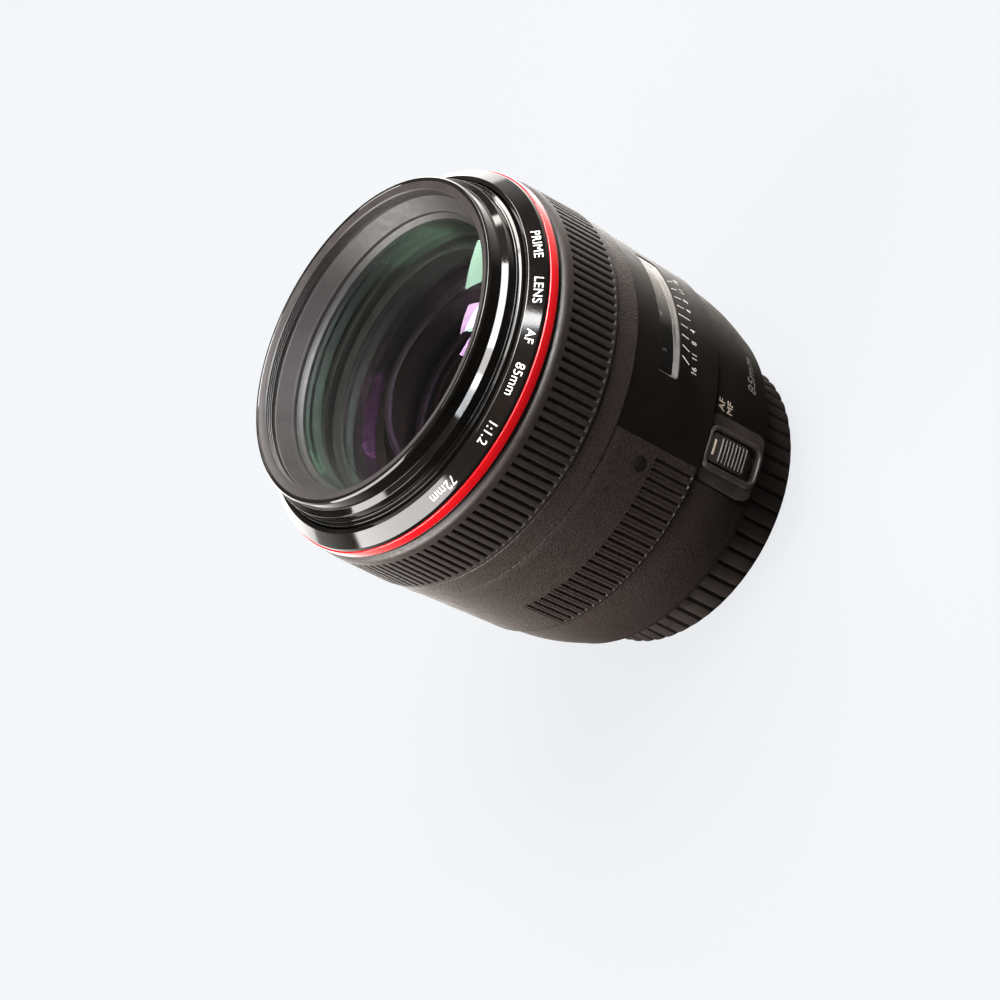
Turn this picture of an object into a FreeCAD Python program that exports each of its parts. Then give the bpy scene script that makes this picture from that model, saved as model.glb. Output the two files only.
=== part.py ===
import FreeCAD, Part

import math
import os

# A large-aperture autofocus prime lens that stands upright on its rear cap.
# All lengths are millimetres.  +Z runs along the optical axis towards the
# subject, the origin is the middle of the cap's flat foot, and the top of the
# lens, with the distance window, faces -Y.

os.makedirs("parts", exist_ok=True)

V = FreeCAD.Vector
X_AXIS, Y_AXIS, Z_AXIS = V(1, 0, 0), V(0, 1, 0), V(0, 0, 1)

# ---------------------------------------------------------------- driving dimensions
CAP_HEIGHT = 12.0            # foot of the cap to the lens's flange plane
RIM_Z = 84.0                 # flange plane to the front rim
FRONT_TRAVEL = 9.3           # how far the front group moves out for the near limit
CAM_TURN = 100.0             # degrees of the cam sleeve for that travel
TOP_ANGLE = -90.0            # the top of the lens, seen from the front
SWITCH_ANGLE = TOP_ANGLE - 35.5
GRIP_HALF_GAP = 43.5         # the grip panel stops this far each side of the top
SMALL_GAP = 0.3              # between pieces that move past each other

# Barrel radii
RUBBER_R = 45.75
BAND_R = 45.3
BARREL_FRONT_R = 45.1
BARREL_REAR_R = 44.0
CASING_FRONT_R = 43.3
CASING_REAR_R = 39.4
CAP_R = 34.1
MOUNT_R = 33.0
COLLAR_R = 26.8
LUG_R = 28.8
COLLAR_BORE_R = 25.2

# Heights above the flange plane
RUBBER_TOP, RUBBER_FOOT = 69.1, 52.9
RIBS_TOP, RIBS_FOOT = 66.0, 53.6
SEAM_Z = 46.6
STEP_Z = 21.4
CASING_FOOT_Z = 1.2
CARRIER_TOP = 71.0

# Tubes inside the barrel
GUIDE_R, GUIDE_BORE = 39.8, 38.7
CAM_R, CAM_BORE = 41.0, 40.1
CARRIER_R, CARRIER_BORE = 42.4, 41.5
CELL_R, CELL_BORE = 38.4, 37.0
TAIL_R, TAIL_BORE = 34.2, 33.0
ROTOR_TOP = 25.4
PLATE_Z = 26.9

# Followers and their slots
FOLLOWER_R = 1.3
FOLLOWER_Z = 43.0
FOLLOWER_ANGLES = (30.0, 150.0, 270.0)

# Iris
BLADES = 8
BLADE_TURN = 32.0
IRIS_RING_TURN = 24.0
BLADE_BORE, BLADE_R = 20.5, 31.8
BLADE_SPAN = 100.0
BLADE_THICK, BLADE_STEP = 0.2, 0.35
PIVOT_R = 33.6
PIN_R = 0.3
DRIVE_PIN_ARM = 3.0
IRIS_RING_FOOT, IRIS_RING_TOP = 33.0, 33.8
BLADES_FOOT = 34.2
IRIS_BASE_FOOT, IRIS_BASE_TOP = 37.2, 38.2
IRIS_WALL_R = 36.3
MODULE = 0.4
PINION_TEETH, RING_TEETH = 12, 152
PINION_ARM = MODULE * (RING_TEETH - PINION_TEETH) / 2
MOTOR_ANGLE = 200.0
SHAFT_R = 0.6

# Switch
SWITCH_TRAVEL = 2.7
POCKET_FOOT, POCKET_TOP = 5.9, 20.5
POCKET_HALF = 3.5
POCKET_FLOOR_R = 41.5


# ---------------------------------------------------------------- helpers
def up(shape):
    """Moves a shape from the flange plane's frame to the cap's foot."""
    return shape.translated(V(0, 0, CAP_HEIGHT))


def save(name, shape):
    shape.exportStep("parts/%s.step" % name)


def around(angle, shape):
    return shape.rotated(V(0, 0, 0), Z_AXIS, angle)


def polygon(points):
    corners = [V(x, y, z) for x, y, z in points]
    return Part.Face(Part.makePolygon(corners + corners[:1]))


def turned(profile):
    """A ring or disc turned from (radius, height) points."""
    face = polygon([(r, 0, z) for r, z in profile])
    return face.revolve(V(0, 0, 0), Z_AXIS, 360)


def tube(r_in, r_out, z0, z1):
    return turned([(r_in, z0), (r_out, z0), (r_out, z1), (r_in, z1)])


def sector(r_in, r_out, z0, z1, start, end):
    """A block of a tube between two angles."""
    face = polygon([(r_in, 0, z0), (r_out, 0, z0), (r_out, 0, z1), (r_in, 0, z1)])
    return around(start, face.revolve(V(0, 0, 0), Z_AXIS, end - start))


def rod(r, z0, z1, x=0.0, y=0.0):
    return Part.makeCylinder(r, z1 - z0, V(x, y, z0))


def spoke(r, r0, r1, angle, z):
    """A round pin that points outwards from the axis."""
    return around(angle, Part.makeCylinder(r, r1 - r0, V(r0, 0, z), X_AXIS))


def block(r0, r1, half_width, z0, z1, angle):
    """A box that points outwards from the axis, at an angle round it."""
    box = Part.makeBox(r1 - r0, 2 * half_width, z1 - z0, V(r0, -half_width, z0))
    return around(angle, box)


def group(shapes):
    return Part.makeCompound(list(shapes))


def fused(shapes):
    return shapes[0].multiFuse(list(shapes[1:])).removeSplitter()


def comb_outline(count, crest_r, root_r, crest_share, flank_share, z):
    """A closed zigzag wire: crests and roots joined by straight flanks."""
    step = 360.0 / count
    points = []
    for i in range(count):
        middle = i * step
        for radius, offset in ((root_r, -crest_share / 2 - flank_share),
                               (crest_r, -crest_share / 2),
                               (crest_r, crest_share / 2),
                               (root_r, crest_share / 2 + flank_share)):
            angle = math.radians(middle + offset * step)
            points.append(V(radius * math.cos(angle), radius * math.sin(angle), z))
    return Part.makePolygon(points + points[:1])


def ribbed_tube(r_in, crest_r, root_r, count, crest_share, flank_share, z0, z1):
    face = Part.Face(comb_outline(count, crest_r, root_r, crest_share, flank_share, z0))
    return face.extrude(V(0, 0, z1 - z0)).cut(rod(r_in, z0 - 1, z1 + 1))


def surface_sag(radius, r):
    """How far a spherical face falls back at r; a hollow face has a minus radius."""
    return radius - math.copysign(math.sqrt(radius * radius - r * r), radius)


def optic(edge_r, front_z, front_radius, rear_z, rear_radius):
    """A lens element.  A plus radius bulges towards the subject on either face."""
    def point(z, radius, r):
        return V(r, 0, z - surface_sag(radius, r))

    front = [point(front_z, front_radius, r) for r in (0, edge_r / 2, edge_r)]
    rear = [point(rear_z, rear_radius, r) for r in (0, edge_r / 2, edge_r)]
    edges = [Part.Arc(*front).toShape(), Part.LineSegment(front[2], rear[2]).toShape(),
             Part.Arc(*reversed(rear)).toShape(), Part.LineSegment(rear[0], front[0]).toShape()]
    return Part.Face(Part.Wire(edges)).revolve(V(0, 0, 0), Z_AXIS, 360)


def helical_slot(half_width, r0, r1, start_angle, turn, z0, travel):
    """The cutter of a slot that climbs as it goes clockwise, in short straight runs."""
    runs = 10
    step, rise = turn / runs, travel / runs
    half_run = r1 * math.tan(math.radians(step / 2)) + 0.05
    cutters = []
    for i in range(runs):
        low, high = z0 + rise * i, z0 + rise * (i + 1)
        run = polygon([(r0, half_run, low - half_width), (r0, -half_run, high - half_width),
                       (r0, -half_run, high + half_width), (r0, half_run, low + half_width)])
        cutters.append(around(start_angle - step * (i + 0.5), run.extrude(V(r1 - r0, 0, 0))))
    for i in range(runs + 1):
        cutters.append(spoke(half_width, r0, r1, start_angle - step * i, z0 + rise * i))
    return cutters[0].multiFuse(cutters[1:])


# ---------------------------------------------------------------- rear cap
def rear_cap():
    """A push-on cap: fluted side, flat foot, and three inner tabs for the bayonet."""
    flutes = 56
    wall_r, top = 29.6, -SMALL_GAP
    foot, chamfer = -CAP_HEIGHT, 1.2
    side = ribbed_tube(1.0, CAP_R, CAP_R - 0.7, flutes, 0.72, 0.08, foot, top)
    envelope = turned([(0, foot), (CAP_R - chamfer, foot), (CAP_R + 0.1, foot + chamfer + 0.1),
                       (CAP_R + 0.1, top - 0.5), (CAP_R - 0.4, top), (0, top)])
    body = side.common(envelope).cut(rod(wall_r, foot + 2.0, top + 1))
    floor = rod(3.0, foot, foot + 2.0)
    tabs = [sector(27.3, wall_r + 0.5, -2.3, -0.7, a + 35, a + 85) for a in (0, 120, 240)]
    return fused([body, floor] + tabs)


# ---------------------------------------------------------------- mount
MOUNT_SCREW_ANGLES = (45, 135, 225, 315)
MOUNT_SCREW_ARM = 30.5
CONTACT_START, CONTACT_END = 60.0, 120.0


def mount_screw_tool(head_r, shank_r):
    parts = [rod(head_r, -0.01, 0.7, MOUNT_SCREW_ARM), rod(shank_r, 0.6, 4.0, MOUNT_SCREW_ARM)]
    return parts[0].fuse(parts[1])


def mount_screw_holes():
    tool = mount_screw_tool(1.5, 0.8)
    return [around(a, tool) for a in MOUNT_SCREW_ANGLES]


def mount_screws():
    slot = Part.makeBox(1.6, 0.3, 0.35, V(MOUNT_SCREW_ARM - 0.8, -0.15, -0.05))
    cross = slot.fuse(slot.rotated(V(MOUNT_SCREW_ARM, 0, 0), Z_AXIS, 90))
    screw = mount_screw_tool(1.5, 0.8).cut(cross)
    return group(around(a, screw) for a in MOUNT_SCREW_ANGLES)


def mount_ring():
    """The bright bayonet: flange, collar and three lugs."""
    flange = tube(COLLAR_BORE_R, MOUNT_R, 0, CASING_FOOT_Z)
    collar = tube(COLLAR_BORE_R, COLLAR_R, -5.5, 0)
    lugs = [sector(COLLAR_BORE_R + 0.4, LUG_R, -3.9, -2.2, a - 28, a + 28) for a in (0, 120, 240)]
    return fused([flange, collar] + lugs).cut(group(mount_screw_holes()))


def contact_block():
    return sector(21.9, 25.1, -6.4, 0.8, CONTACT_START, CONTACT_END).cut(
        group(contact_pin(a) for a in contact_angles()))


def contact_angles():
    count, pitch = 8, 6.4
    middle = (CONTACT_START + CONTACT_END) / 2
    return [middle + (i - (count - 1) / 2) * pitch for i in range(count)]


def contact_pin(angle):
    return around(angle, rod(0.75, -6.6, -3.0, 23.6))


def rear_baffle():
    """A black ring round the last lens; it leaves room for the contacts."""
    return sector(21.9, COLLAR_BORE_R, -4.4, 0.8, CONTACT_END + 1, CONTACT_START + 359)


def rear_lens_ring():
    return turned([(20.5, -4.4), (21.8, -4.4), (21.8, 1.6), (19.3, 1.6), (19.3, 1.1), (20.5, 1.1)])


# ---------------------------------------------------------------- rear casing and switch
def casing_outside(r):
    """The outer outline of the rear casing, from its foot up, r smaller than full size."""
    return [V(CASING_REAR_R - 0.8 - r, 0, CASING_FOOT_Z), V(CASING_REAR_R - r, 0, 2.0),
            V(CASING_FRONT_R - 0.75 - r, 0, 10.5), V(CASING_FRONT_R - r, 0, STEP_Z - 0.2)]


def casing_solid(r, z_floor):
    foot, start, middle, end = casing_outside(r)
    foot, start = V(foot.x, 0, z_floor), V(start.x, 0, max(start.z, z_floor + 0.2))
    edges = [Part.LineSegment(V(0, 0, z_floor), foot).toShape(),
             Part.LineSegment(foot, start).toShape(),
             Part.Arc(start, middle, end).toShape(),
             Part.LineSegment(end, V(0, 0, end.z)).toShape(),
             Part.LineSegment(V(0, 0, end.z), V(0, 0, z_floor)).toShape()]
    return Part.Face(Part.Wire(edges)).revolve(V(0, 0, 0), Z_AXIS, 360)


def switch_pocket():
    return block(POCKET_FLOOR_R, 50, POCKET_HALF, POCKET_FOOT, POCKET_TOP, SWITCH_ANGLE)


def rear_casing():
    shell = casing_solid(0, CASING_FOOT_Z).cut(casing_solid(1.6, 2.8))
    shell = shell.cut(rod(COLLAR_BORE_R, 0, 5))
    tongue = tube(41.0, 42.2, STEP_Z - 0.3, 24.0)
    return shell.fuse(tongue).removeSplitter().cut(group(mount_screw_holes() + [switch_pocket()]))


def switch_panel():
    """The raised frame round the slider, level with the step of the barrel."""
    foot, top, half = 4.6, STEP_Z - 0.2, 5.4
    raised = block(38, 50, half, foot, top, 0)
    corners = [e for e in raised.Edges
               if abs(e.Vertexes[0].X - e.Vertexes[1].X) > 1 and e.CenterOfMass.z < foot + 0.1]
    raised = around(SWITCH_ANGLE, raised.makeFillet(2.4, corners))
    raised = raised.common(turned([(38, foot), (43.6, foot), (BARREL_REAR_R, foot + 0.6),
                                   (BARREL_REAR_R, top), (38, top)]))
    return raised.cut(casing_solid(0, CASING_FOOT_Z)).cut(switch_pocket())


def switch_slider():
    half, foot, top = POCKET_HALF - SMALL_GAP, 8.9, POCKET_TOP - SMALL_GAP
    outer_r = BARREL_REAR_R + 0.1
    body = block(POCKET_FLOOR_R + SMALL_GAP, 50, half, foot, top, SWITCH_ANGLE)
    body = body.common(turned([(40, foot), (outer_r - 0.4, foot), (outer_r, foot + 0.4),
                               (outer_r, top - 0.4), (outer_r - 0.4, top), (40, top)]))
    grooves = [block(outer_r - 0.45, 50, 2.7, z, z + 0.6, SWITCH_ANGLE)
               for z in [9.9 + 1.0 * i for i in range(8)]]
    return body.cut(group(grooves))


def switch_contact():
    """The contact block under the slider, on the inner wall of the casing."""
    pad = block(38.9, 45, 3.0, 7.4, 13.6, SWITCH_ANGLE).common(casing_solid(1.6, 2.8))
    leg = block(37.9, 39.0, 1.2, 9.0, 11.0, SWITCH_ANGLE)
    return fused([pad, leg])


# ---------------------------------------------------------------- main barrel
WINDOW_HALF_ANGLE = 23.0
WINDOW_FOOT, WINDOW_TOP = 33.5, 39.8
GRIP_START = TOP_ANGLE + GRIP_HALF_GAP
GRIP_END = TOP_ANGLE - GRIP_HALF_GAP + 360
GRIP_FOOT, GRIP_TOP = STEP_Z + 0.6, SEAM_Z - 0.5
GRIP_DEPTH = 0.7
BODY_SCREW_Z = 36.7
BODY_SCREW_ANGLES = (TOP_ANGLE - 49.9, TOP_ANGLE + 49.9, TOP_ANGLE + 180)


def barrel_r(z):
    share = (z - STEP_Z) / (SEAM_Z - STEP_Z)
    return BARREL_REAR_R + share * (BARREL_FRONT_R - BARREL_REAR_R)


def barrel_cone(shrink, z0, z1):
    return turned([(0, z0), (barrel_r(z0) - shrink, z0), (barrel_r(z1) - shrink, z1), (0, z1)])


def grip_solid(proud=0.0):
    """The space that the lower grip panel fills in the barrel's side."""
    layer = barrel_cone(-proud, GRIP_FOOT, GRIP_TOP).cut(
        barrel_cone(GRIP_DEPTH, GRIP_FOOT - 1, GRIP_TOP + 1))
    return layer.common(sector(30, 50, GRIP_FOOT - 2, GRIP_TOP + 2, GRIP_START, GRIP_END))


def window_space(grow):
    return sector(38, 50, WINDOW_FOOT - grow, WINDOW_TOP + grow,
                  TOP_ANGLE - WINDOW_HALF_ANGLE - grow * 1.3,
                  TOP_ANGLE + WINDOW_HALF_ANGLE + grow * 1.3)


def body_screw_space(head_r):
    return group(spoke(head_r, 44.0, 50, a, BODY_SCREW_Z) for a in BODY_SCREW_ANGLES)


def body_screw_shanks():
    return group(spoke(0.6, 42.8, 44.1, a, BODY_SCREW_Z) for a in BODY_SCREW_ANGLES)


def main_barrel():
    foot, top, bevel = STEP_Z, SEAM_Z, 0.3
    outside = turned([(0, foot), (BARREL_REAR_R - bevel, foot), (barrel_r(foot + bevel), foot + bevel),
                      (barrel_r(top - bevel), top - bevel), (BARREL_FRONT_R - bevel, top), (0, top)])
    inside = turned([(0, STEP_Z - 1), (42.2, STEP_Z - 1), (42.2, 24.0), (42.7, 24.5),
                     (43.1, 43.5), (CARRIER_R, 43.5), (CARRIER_R, SEAM_Z + 1), (0, SEAM_Z + 1)])
    shell = outside.cut(inside).cut(grip_solid(1.0)).cut(window_space(0.8))
    return shell.cut(group([body_screw_space(1.45), body_screw_shanks()]))


def window_bezel():
    layer = barrel_cone(0, WINDOW_FOOT - 2, WINDOW_TOP + 2).cut(
        barrel_cone(1.5, WINDOW_FOOT - 3, WINDOW_TOP + 3))
    return layer.common(window_space(0.8)).cut(window_space(0))


def distance_window():
    layer = barrel_cone(0.25, WINDOW_FOOT - 2, WINDOW_TOP + 2).cut(
        barrel_cone(1.05, WINDOW_FOOT - 3, WINDOW_TOP + 3))
    return layer.common(window_space(0))


def rib_grooves():
    pitch, per_side, first = 2.87, 22, 45.5
    tools = []
    for side in (-1, 1):
        for i in range(per_side):
            angle = TOP_ANGLE + side * (first + 1.2 + i * pitch)
            tools.append(block(44.15, 50, 0.55, GRIP_FOOT + 0.9, 33.2, angle))
    return group(tools)


def grip_panel():
    return grip_solid().cut(rib_grooves()).cut(
        group([body_screw_space(1.45), body_screw_shanks()]))


def body_screws():
    screws = []
    for angle in BODY_SCREW_ANGLES:
        screw = spoke(1.3, 44.0, 44.35, angle, BODY_SCREW_Z).fuse(
            spoke(0.6, 42.8, 44.1, angle, BODY_SCREW_Z))
        cross = [spoke_slot(angle, half_z, half_t) for half_z, half_t in ((0.8, 0.15), (0.15, 0.8))]
        screws.append(screw.cut(group(cross)))
    return group(screws)


def spoke_slot(angle, half_z, half_t):
    return block(44.15, 46, half_t, BODY_SCREW_Z - half_z, BODY_SCREW_Z + half_z, angle)


def rear_band():
    return turned([(44.0, SEAM_Z), (BAND_R - 0.3, SEAM_Z), (BAND_R, SEAM_Z + 0.3),
                   (BAND_R, 52.2), (BAND_R - 0.3, 52.5), (44.0, 52.5)])


def focus_carrier():
    """The fixed tube that the focus ring turns on, screwed into the main barrel."""
    return tube(CARRIER_BORE, CARRIER_R, 43.6, CARRIER_TOP)


def name_ring():
    return turned([(41.2, CARRIER_TOP), (41.2, 76.0), (42.07, 76.0), (45.0, 72.7), (45.0, 72.3),
                   (44.4, 72.3), (44.4, 70.0), (45.2, 70.0), (45.2, 69.5), (CARRIER_R, 69.5),
                   (CARRIER_R, CARRIER_TOP)])


def red_ring():
    return turned([(44.4, 70.0), (45.2, 70.0), (45.35, 70.3), (45.35, 72.0), (45.2, 72.3),
                   (44.4, 72.3)])


# ---------------------------------------------------------------- focus ring
def focus_rubber():
    ribs = ribbed_tube(44.0, RUBBER_R, RUBBER_R - 0.75, 126, 0.56, 0.07, RIBS_FOOT, RIBS_TOP)
    shoulder = turned([(44.0, RIBS_TOP), (RUBBER_R, RIBS_TOP), (RUBBER_R, 67.4),
                       (RUBBER_R - 0.25, 68.3), (RUBBER_R - 0.8, 69.0), (RUBBER_R - 1.1, RUBBER_TOP),
                       (44.0, RUBBER_TOP)])
    foot = turned([(44.0, RUBBER_FOOT), (RUBBER_R - 0.4, RUBBER_FOOT), (RUBBER_R, RUBBER_FOOT + 0.3),
                   (RUBBER_R, RIBS_FOOT), (44.0, RIBS_FOOT)])
    return fused([ribs, shoulder, foot])


def focus_sleeve():
    """The metal ring under the rubber, with the toothed skirt that the encoder reads."""
    sleeve = tube(CARRIER_R + 0.35, 44.0, RUBBER_FOOT, RUBBER_TOP)
    skirt = tube(43.05, 43.35, 49.0, RUBBER_FOOT + 0.1)
    notches = [block(42.5, 44, 0.35, 48.5, 50.5, a * 4.0) for a in range(90)]
    return fused([sleeve, skirt]).cut(group(notches))


def focus_encoder():
    """Two light-gate forks that straddle the toothed skirt."""
    fork = sector(CARRIER_R, 43.95, 47.2, 51.2, -4, 4).cut(tube(42.75, 43.65, 48.4, 52))
    return group(around(a, fork) for a in (100.0, 112.0))


# ---------------------------------------------------------------- fixed inner barrel
def guide_sleeve():
    """The fixed tube with three straight slots, stepped in at the rear for the motor."""
    flange = tube(29.0, 36.8, 2.8, 4.2)
    tail = tube(TAIL_BORE, TAIL_R, 4.2, PLATE_Z)
    plate = tube(TAIL_BORE, GUIDE_R, PLATE_Z, 28.1)
    sleeve = tube(GUIDE_BORE, GUIDE_R, 28.1, 66.0)
    slots = []
    low, high, half = FOLLOWER_Z, FOLLOWER_Z + FRONT_TRAVEL, FOLLOWER_R + SMALL_GAP
    for angle in FOLLOWER_ANGLES:
        slots += [block(38, 40.05, half, low, high, angle), spoke(half, 38, 40.05, angle, low),
                  spoke(half, 38, 40.05, angle, high)]
    return fused([flange, tail, plate, sleeve]).cut(group(mount_screw_holes())).cut(group(slots))


def usm_stator():
    """The ring motor's stator with its comb of teeth."""
    slots = [block(33, 42, 0.3, 20.8, 23, a * 6.0) for a in range(60)]
    return tube(TAIL_R, 40.8, 16.0, 22.1).cut(group(slots))


def spring_washer():
    return turned([(TAIL_R + 0.1, 14.2), (40.4, 15.5), (40.4, 16.0), (TAIL_R + 0.1, 14.7)])


def thrust_balls():
    return group(around(15.0 * i, Part.makeSphere(0.6, V(37.0, 0, PLATE_Z - 0.6)))
                 for i in range(24))


def ball_cage():
    holes = group(around(15.0 * i, rod(0.7, 26, 27, 37.0)) for i in range(24))
    return tube(35.4, 38.6, 26.2, 26.6).cut(holes)


def circuit_board():
    """The C-shaped board round the tail of the guide sleeve, with its soldered chips."""
    board = sector(TAIL_R + 0.2, 38.0, 5.0, 5.8, 20, 340)
    sizes = ((60, 1.5, 2.4), (100, 1.4, 1.6), (150, 1.6, 3.2), (215, 1.5, 2.2), (280, 1.2, 1.6))
    chips = [block(35.0, 37.6, half, 5.8, 5.8 + tall / 2, a) for a, half, tall in sizes]
    return fused([board] + chips)


# ---------------------------------------------------------------- cam
def cam_sleeve():
    """The turning tube whose three helical slots push the front group out."""
    sleeve = tube(CAM_BORE, CAM_R, ROTOR_TOP, 64.0)
    for angle in FOLLOWER_ANGLES:
        sleeve = sleeve.cut(helical_slot(FOLLOWER_R + SMALL_GAP, 39.5, 41.6, angle, CAM_TURN,
                                         FOLLOWER_Z, FRONT_TRAVEL))
    return sleeve


def usm_rotor():
    return tube(TAIL_R + 0.4, CAM_R, 22.5, ROTOR_TOP)


def distance_scale():
    return tube(CAM_R, CAM_R + 0.5, 30.0, 43.0)


# ---------------------------------------------------------------- front group
def filter_ring():
    """Front rim: filter thread inside, hood seat outside."""
    return turned([(35.6, 80.9), (35.6, 83.6), (35.9, RIM_Z), (38.2, RIM_Z), (38.5, 83.7),
                   (38.9, 82.2), (39.5, 81.6), (39.5, 78.5), (39.1, 78.1), (39.1, 77.7),
                   (40.4, 77.5), (40.8, 77.1), (40.8, 71.3), (CELL_R, 71.3), (CELL_R, 75.4),
                   (37.6, 75.4), (37.6, 76.5), (36.6, 76.5), (36.6, 80.9)])


def front_baffle():
    return turned([(33.2, 76.5), (36.6, 76.5), (36.6, 80.9), (35.4, 80.9), (33.2, 77.3)])


def retaining_ring():
    return turned([(32.3, 75.4), (37.6, 75.4), (37.6, 76.5), (32.8, 76.5)])


def front_cell():
    """The moving tube: it holds the front glass and slides in the guide sleeve."""
    return turned([(CELL_BORE, 32.0), (CELL_R, 32.0), (CELL_R, 75.4), (33.6, 75.4), (33.6, 69.6),
                   (31.6, 69.6), (31.6, 67.4), (CELL_BORE, 67.4)])


def inner_cell():
    """The stepped tube that holds lens elements two, three and four."""
    return turned([(28.5, 67.4), (CELL_BORE, 67.4), (CELL_BORE, 64.5), (31.0, 62.0), (31.0, 55.5),
                   (27.5, 53.0), (27.5, 48.0), (25.0, 46.0), (25.0, 41.0), (CELL_BORE, 41.0),
                   (CELL_BORE, 39.2), (22.0, 39.2), (22.0, 50.0), (25.5, 50.0), (25.5, 57.5),
                   (28.5, 57.5)])


def rear_cell():
    flange = turned([(20.0, 4.4), (23.5, 4.4), (23.5, 28.8), (CELL_R, 28.8), (CELL_R, 32.0),
                     (20.0, 32.0)])
    lip = tube(18.6, 20.0, 4.4, 5.6)
    return fused([flange, lip]).cut(motor_shaft_space(1.0, 28, 33))


def cam_followers():
    return group(spoke(FOLLOWER_R, CELL_R, 40.6, a, FOLLOWER_Z) for a in FOLLOWER_ANGLES)


ELEMENTS = {
    "front_element": (33.6, 80.7, 95.0, 72.0, 250.0),
    "element_2": (28.5, 70.6, 48.0, 62.0, 95.0),
    "element_3": (25.5, 61.0, 40.0, 55.0, 70.0),
    "element_4": (22.0, 53.6, 75.0, 50.6, 27.0),
    "element_5": (20.0, 24.0, -30.0, 21.5, 50.0),
    "element_6": (20.0, 21.5, 50.0, 11.5, -45.0),
    "element_7": (20.0, 10.6, 80.0, 4.6, -90.0),
    "element_8": (20.5, 0.8, 200.0, -3.6, -400.0),
}


# ---------------------------------------------------------------- iris
def motor_shaft_space(r, z0, z1):
    return around(MOTOR_ANGLE, rod(r, z0, z1, PINION_ARM))


def iris_base():
    """The fixed plate that carries the blade pivots, with the housing's wall."""
    plate = tube(BLADE_BORE + 0.3, CELL_BORE, IRIS_BASE_FOOT, IRIS_BASE_TOP)
    wall = tube(IRIS_WALL_R, CELL_BORE, 32.6, IRIS_BASE_FOOT)
    holes = [around(i * 360.0 / BLADES, rod(PIN_R + 0.05, 36, 38.1, PIVOT_R)) for i in range(BLADES)]
    return fused([plate, wall]).cut(group(holes))


def iris_cover():
    return tube(BLADE_BORE + 0.3, CELL_BORE, 32.0, 32.6).cut(motor_shaft_space(1.0, 31, 33))


def drive_pin_place(turn):
    """Where a blade's drive pin is when its blade has turned that far."""
    angle = math.radians(-90 - BLADE_TURN / 2 + turn)
    x = PIVOT_R + DRIVE_PIN_ARM * math.cos(angle)
    y = DRIVE_PIN_ARM * math.sin(angle)
    return math.hypot(x, y), math.degrees(math.atan2(y, x))


def drive_slot():
    """The curved slot that a drive pin follows while the iris ring turns."""
    steps, half = 8, PIN_R + SMALL_GAP
    places = []
    for i in range(steps + 1):
        r, angle = drive_pin_place(BLADE_TURN * i / steps)
        places.append((r, math.radians(angle - IRIS_RING_TURN * i / steps)))
    corners = [V(r * math.cos(a), r * math.sin(a), IRIS_RING_FOOT - 1) for r, a in places]
    tools = [Part.makeCylinder(half, 3, c) for c in corners]
    for start, end in zip(corners, corners[1:]):
        run = end - start
        box = Part.makeBox(run.Length, 2 * half, 3, V(0, -half, 0))
        box.rotate(V(0, 0, 0), Z_AXIS, math.degrees(math.atan2(run.y, run.x)))
        tools.append(box.translated(start))
    return fused(tools)


def gear_window():
    """The curved opening in the iris ring with the pinion's inner teeth on its outer side."""
    pitch_r = MODULE * RING_TEETH / 2
    step = 360.0 / RING_TEETH
    start, end = MOTOR_ANGLE - IRIS_RING_TURN - 9.0, MOTOR_ANGLE + 9.0
    teeth = range(math.floor((start - MOTOR_ANGLE) / step), math.ceil((end - MOTOR_ANGLE) / step))
    root, crest = pitch_r + 0.5, pitch_r - 0.35
    points = []
    for i in teeth:
        for radius, share in ((root, 0.10), (crest, 0.36), (crest, 0.64), (root, 0.90)):
            angle = math.radians(MOTOR_ANGLE + (i + share) * step)
            points.append(V(radius * math.cos(angle), radius * math.sin(angle), IRIS_RING_FOOT - 1))
    inner_r = PINION_ARM - MODULE * PINION_TEETH / 2 - 0.9
    last, first = points[-1], points[0]
    for point in (last, first):
        angle = math.atan2(point.y, point.x)
        points.append(V(inner_r * math.cos(angle), inner_r * math.sin(angle), point.z))
    inner = points[-2:]
    outer = points[:-2]
    middle_angle = math.radians((start + end) / 2)
    middle = V(inner_r * math.cos(middle_angle), inner_r * math.sin(middle_angle), inner[0].z)
    edges = [Part.LineSegment(a, b).toShape() for a, b in zip(outer, outer[1:])]
    edges += [Part.LineSegment(last, inner[0]).toShape(),
              Part.Arc(inner[0], middle, inner[1]).toShape(),
              Part.LineSegment(inner[1], first).toShape()]
    return Part.Face(Part.Wire(edges)).extrude(V(0, 0, 3))


def iris_ring():
    plate = tube(BLADE_BORE + 0.3, 36.0, IRIS_RING_FOOT, IRIS_RING_TOP)
    slot = drive_slot()
    slots = [around(i * 360.0 / BLADES, slot) for i in range(BLADES)]
    return plate.cut(group(slots)).cut(gear_window())


def iris_pinion():
    """The motor's pinion and shaft; a gap of the ring gear faces it at rest."""
    pitch_r = MODULE * PINION_TEETH / 2
    outline = comb_outline(PINION_TEETH, pitch_r + 0.35, pitch_r - 0.5, 0.20, 0.22, IRIS_RING_FOOT)
    gear = Part.Face(outline).extrude(V(0, 0, IRIS_RING_TOP - IRIS_RING_FOOT))
    gear = gear.fuse(rod(SHAFT_R, 26.0, IRIS_RING_TOP)).removeSplitter()
    return around(MOTOR_ANGLE, gear.translated(V(PINION_ARM, 0, 0)))


def iris_motor():
    body = rod(3.4, 14.0, 28.8, PINION_ARM).cut(rod(SHAFT_R + 0.05, 25.9, 29, PINION_ARM))
    return around(MOTOR_ANGLE, body)


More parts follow.
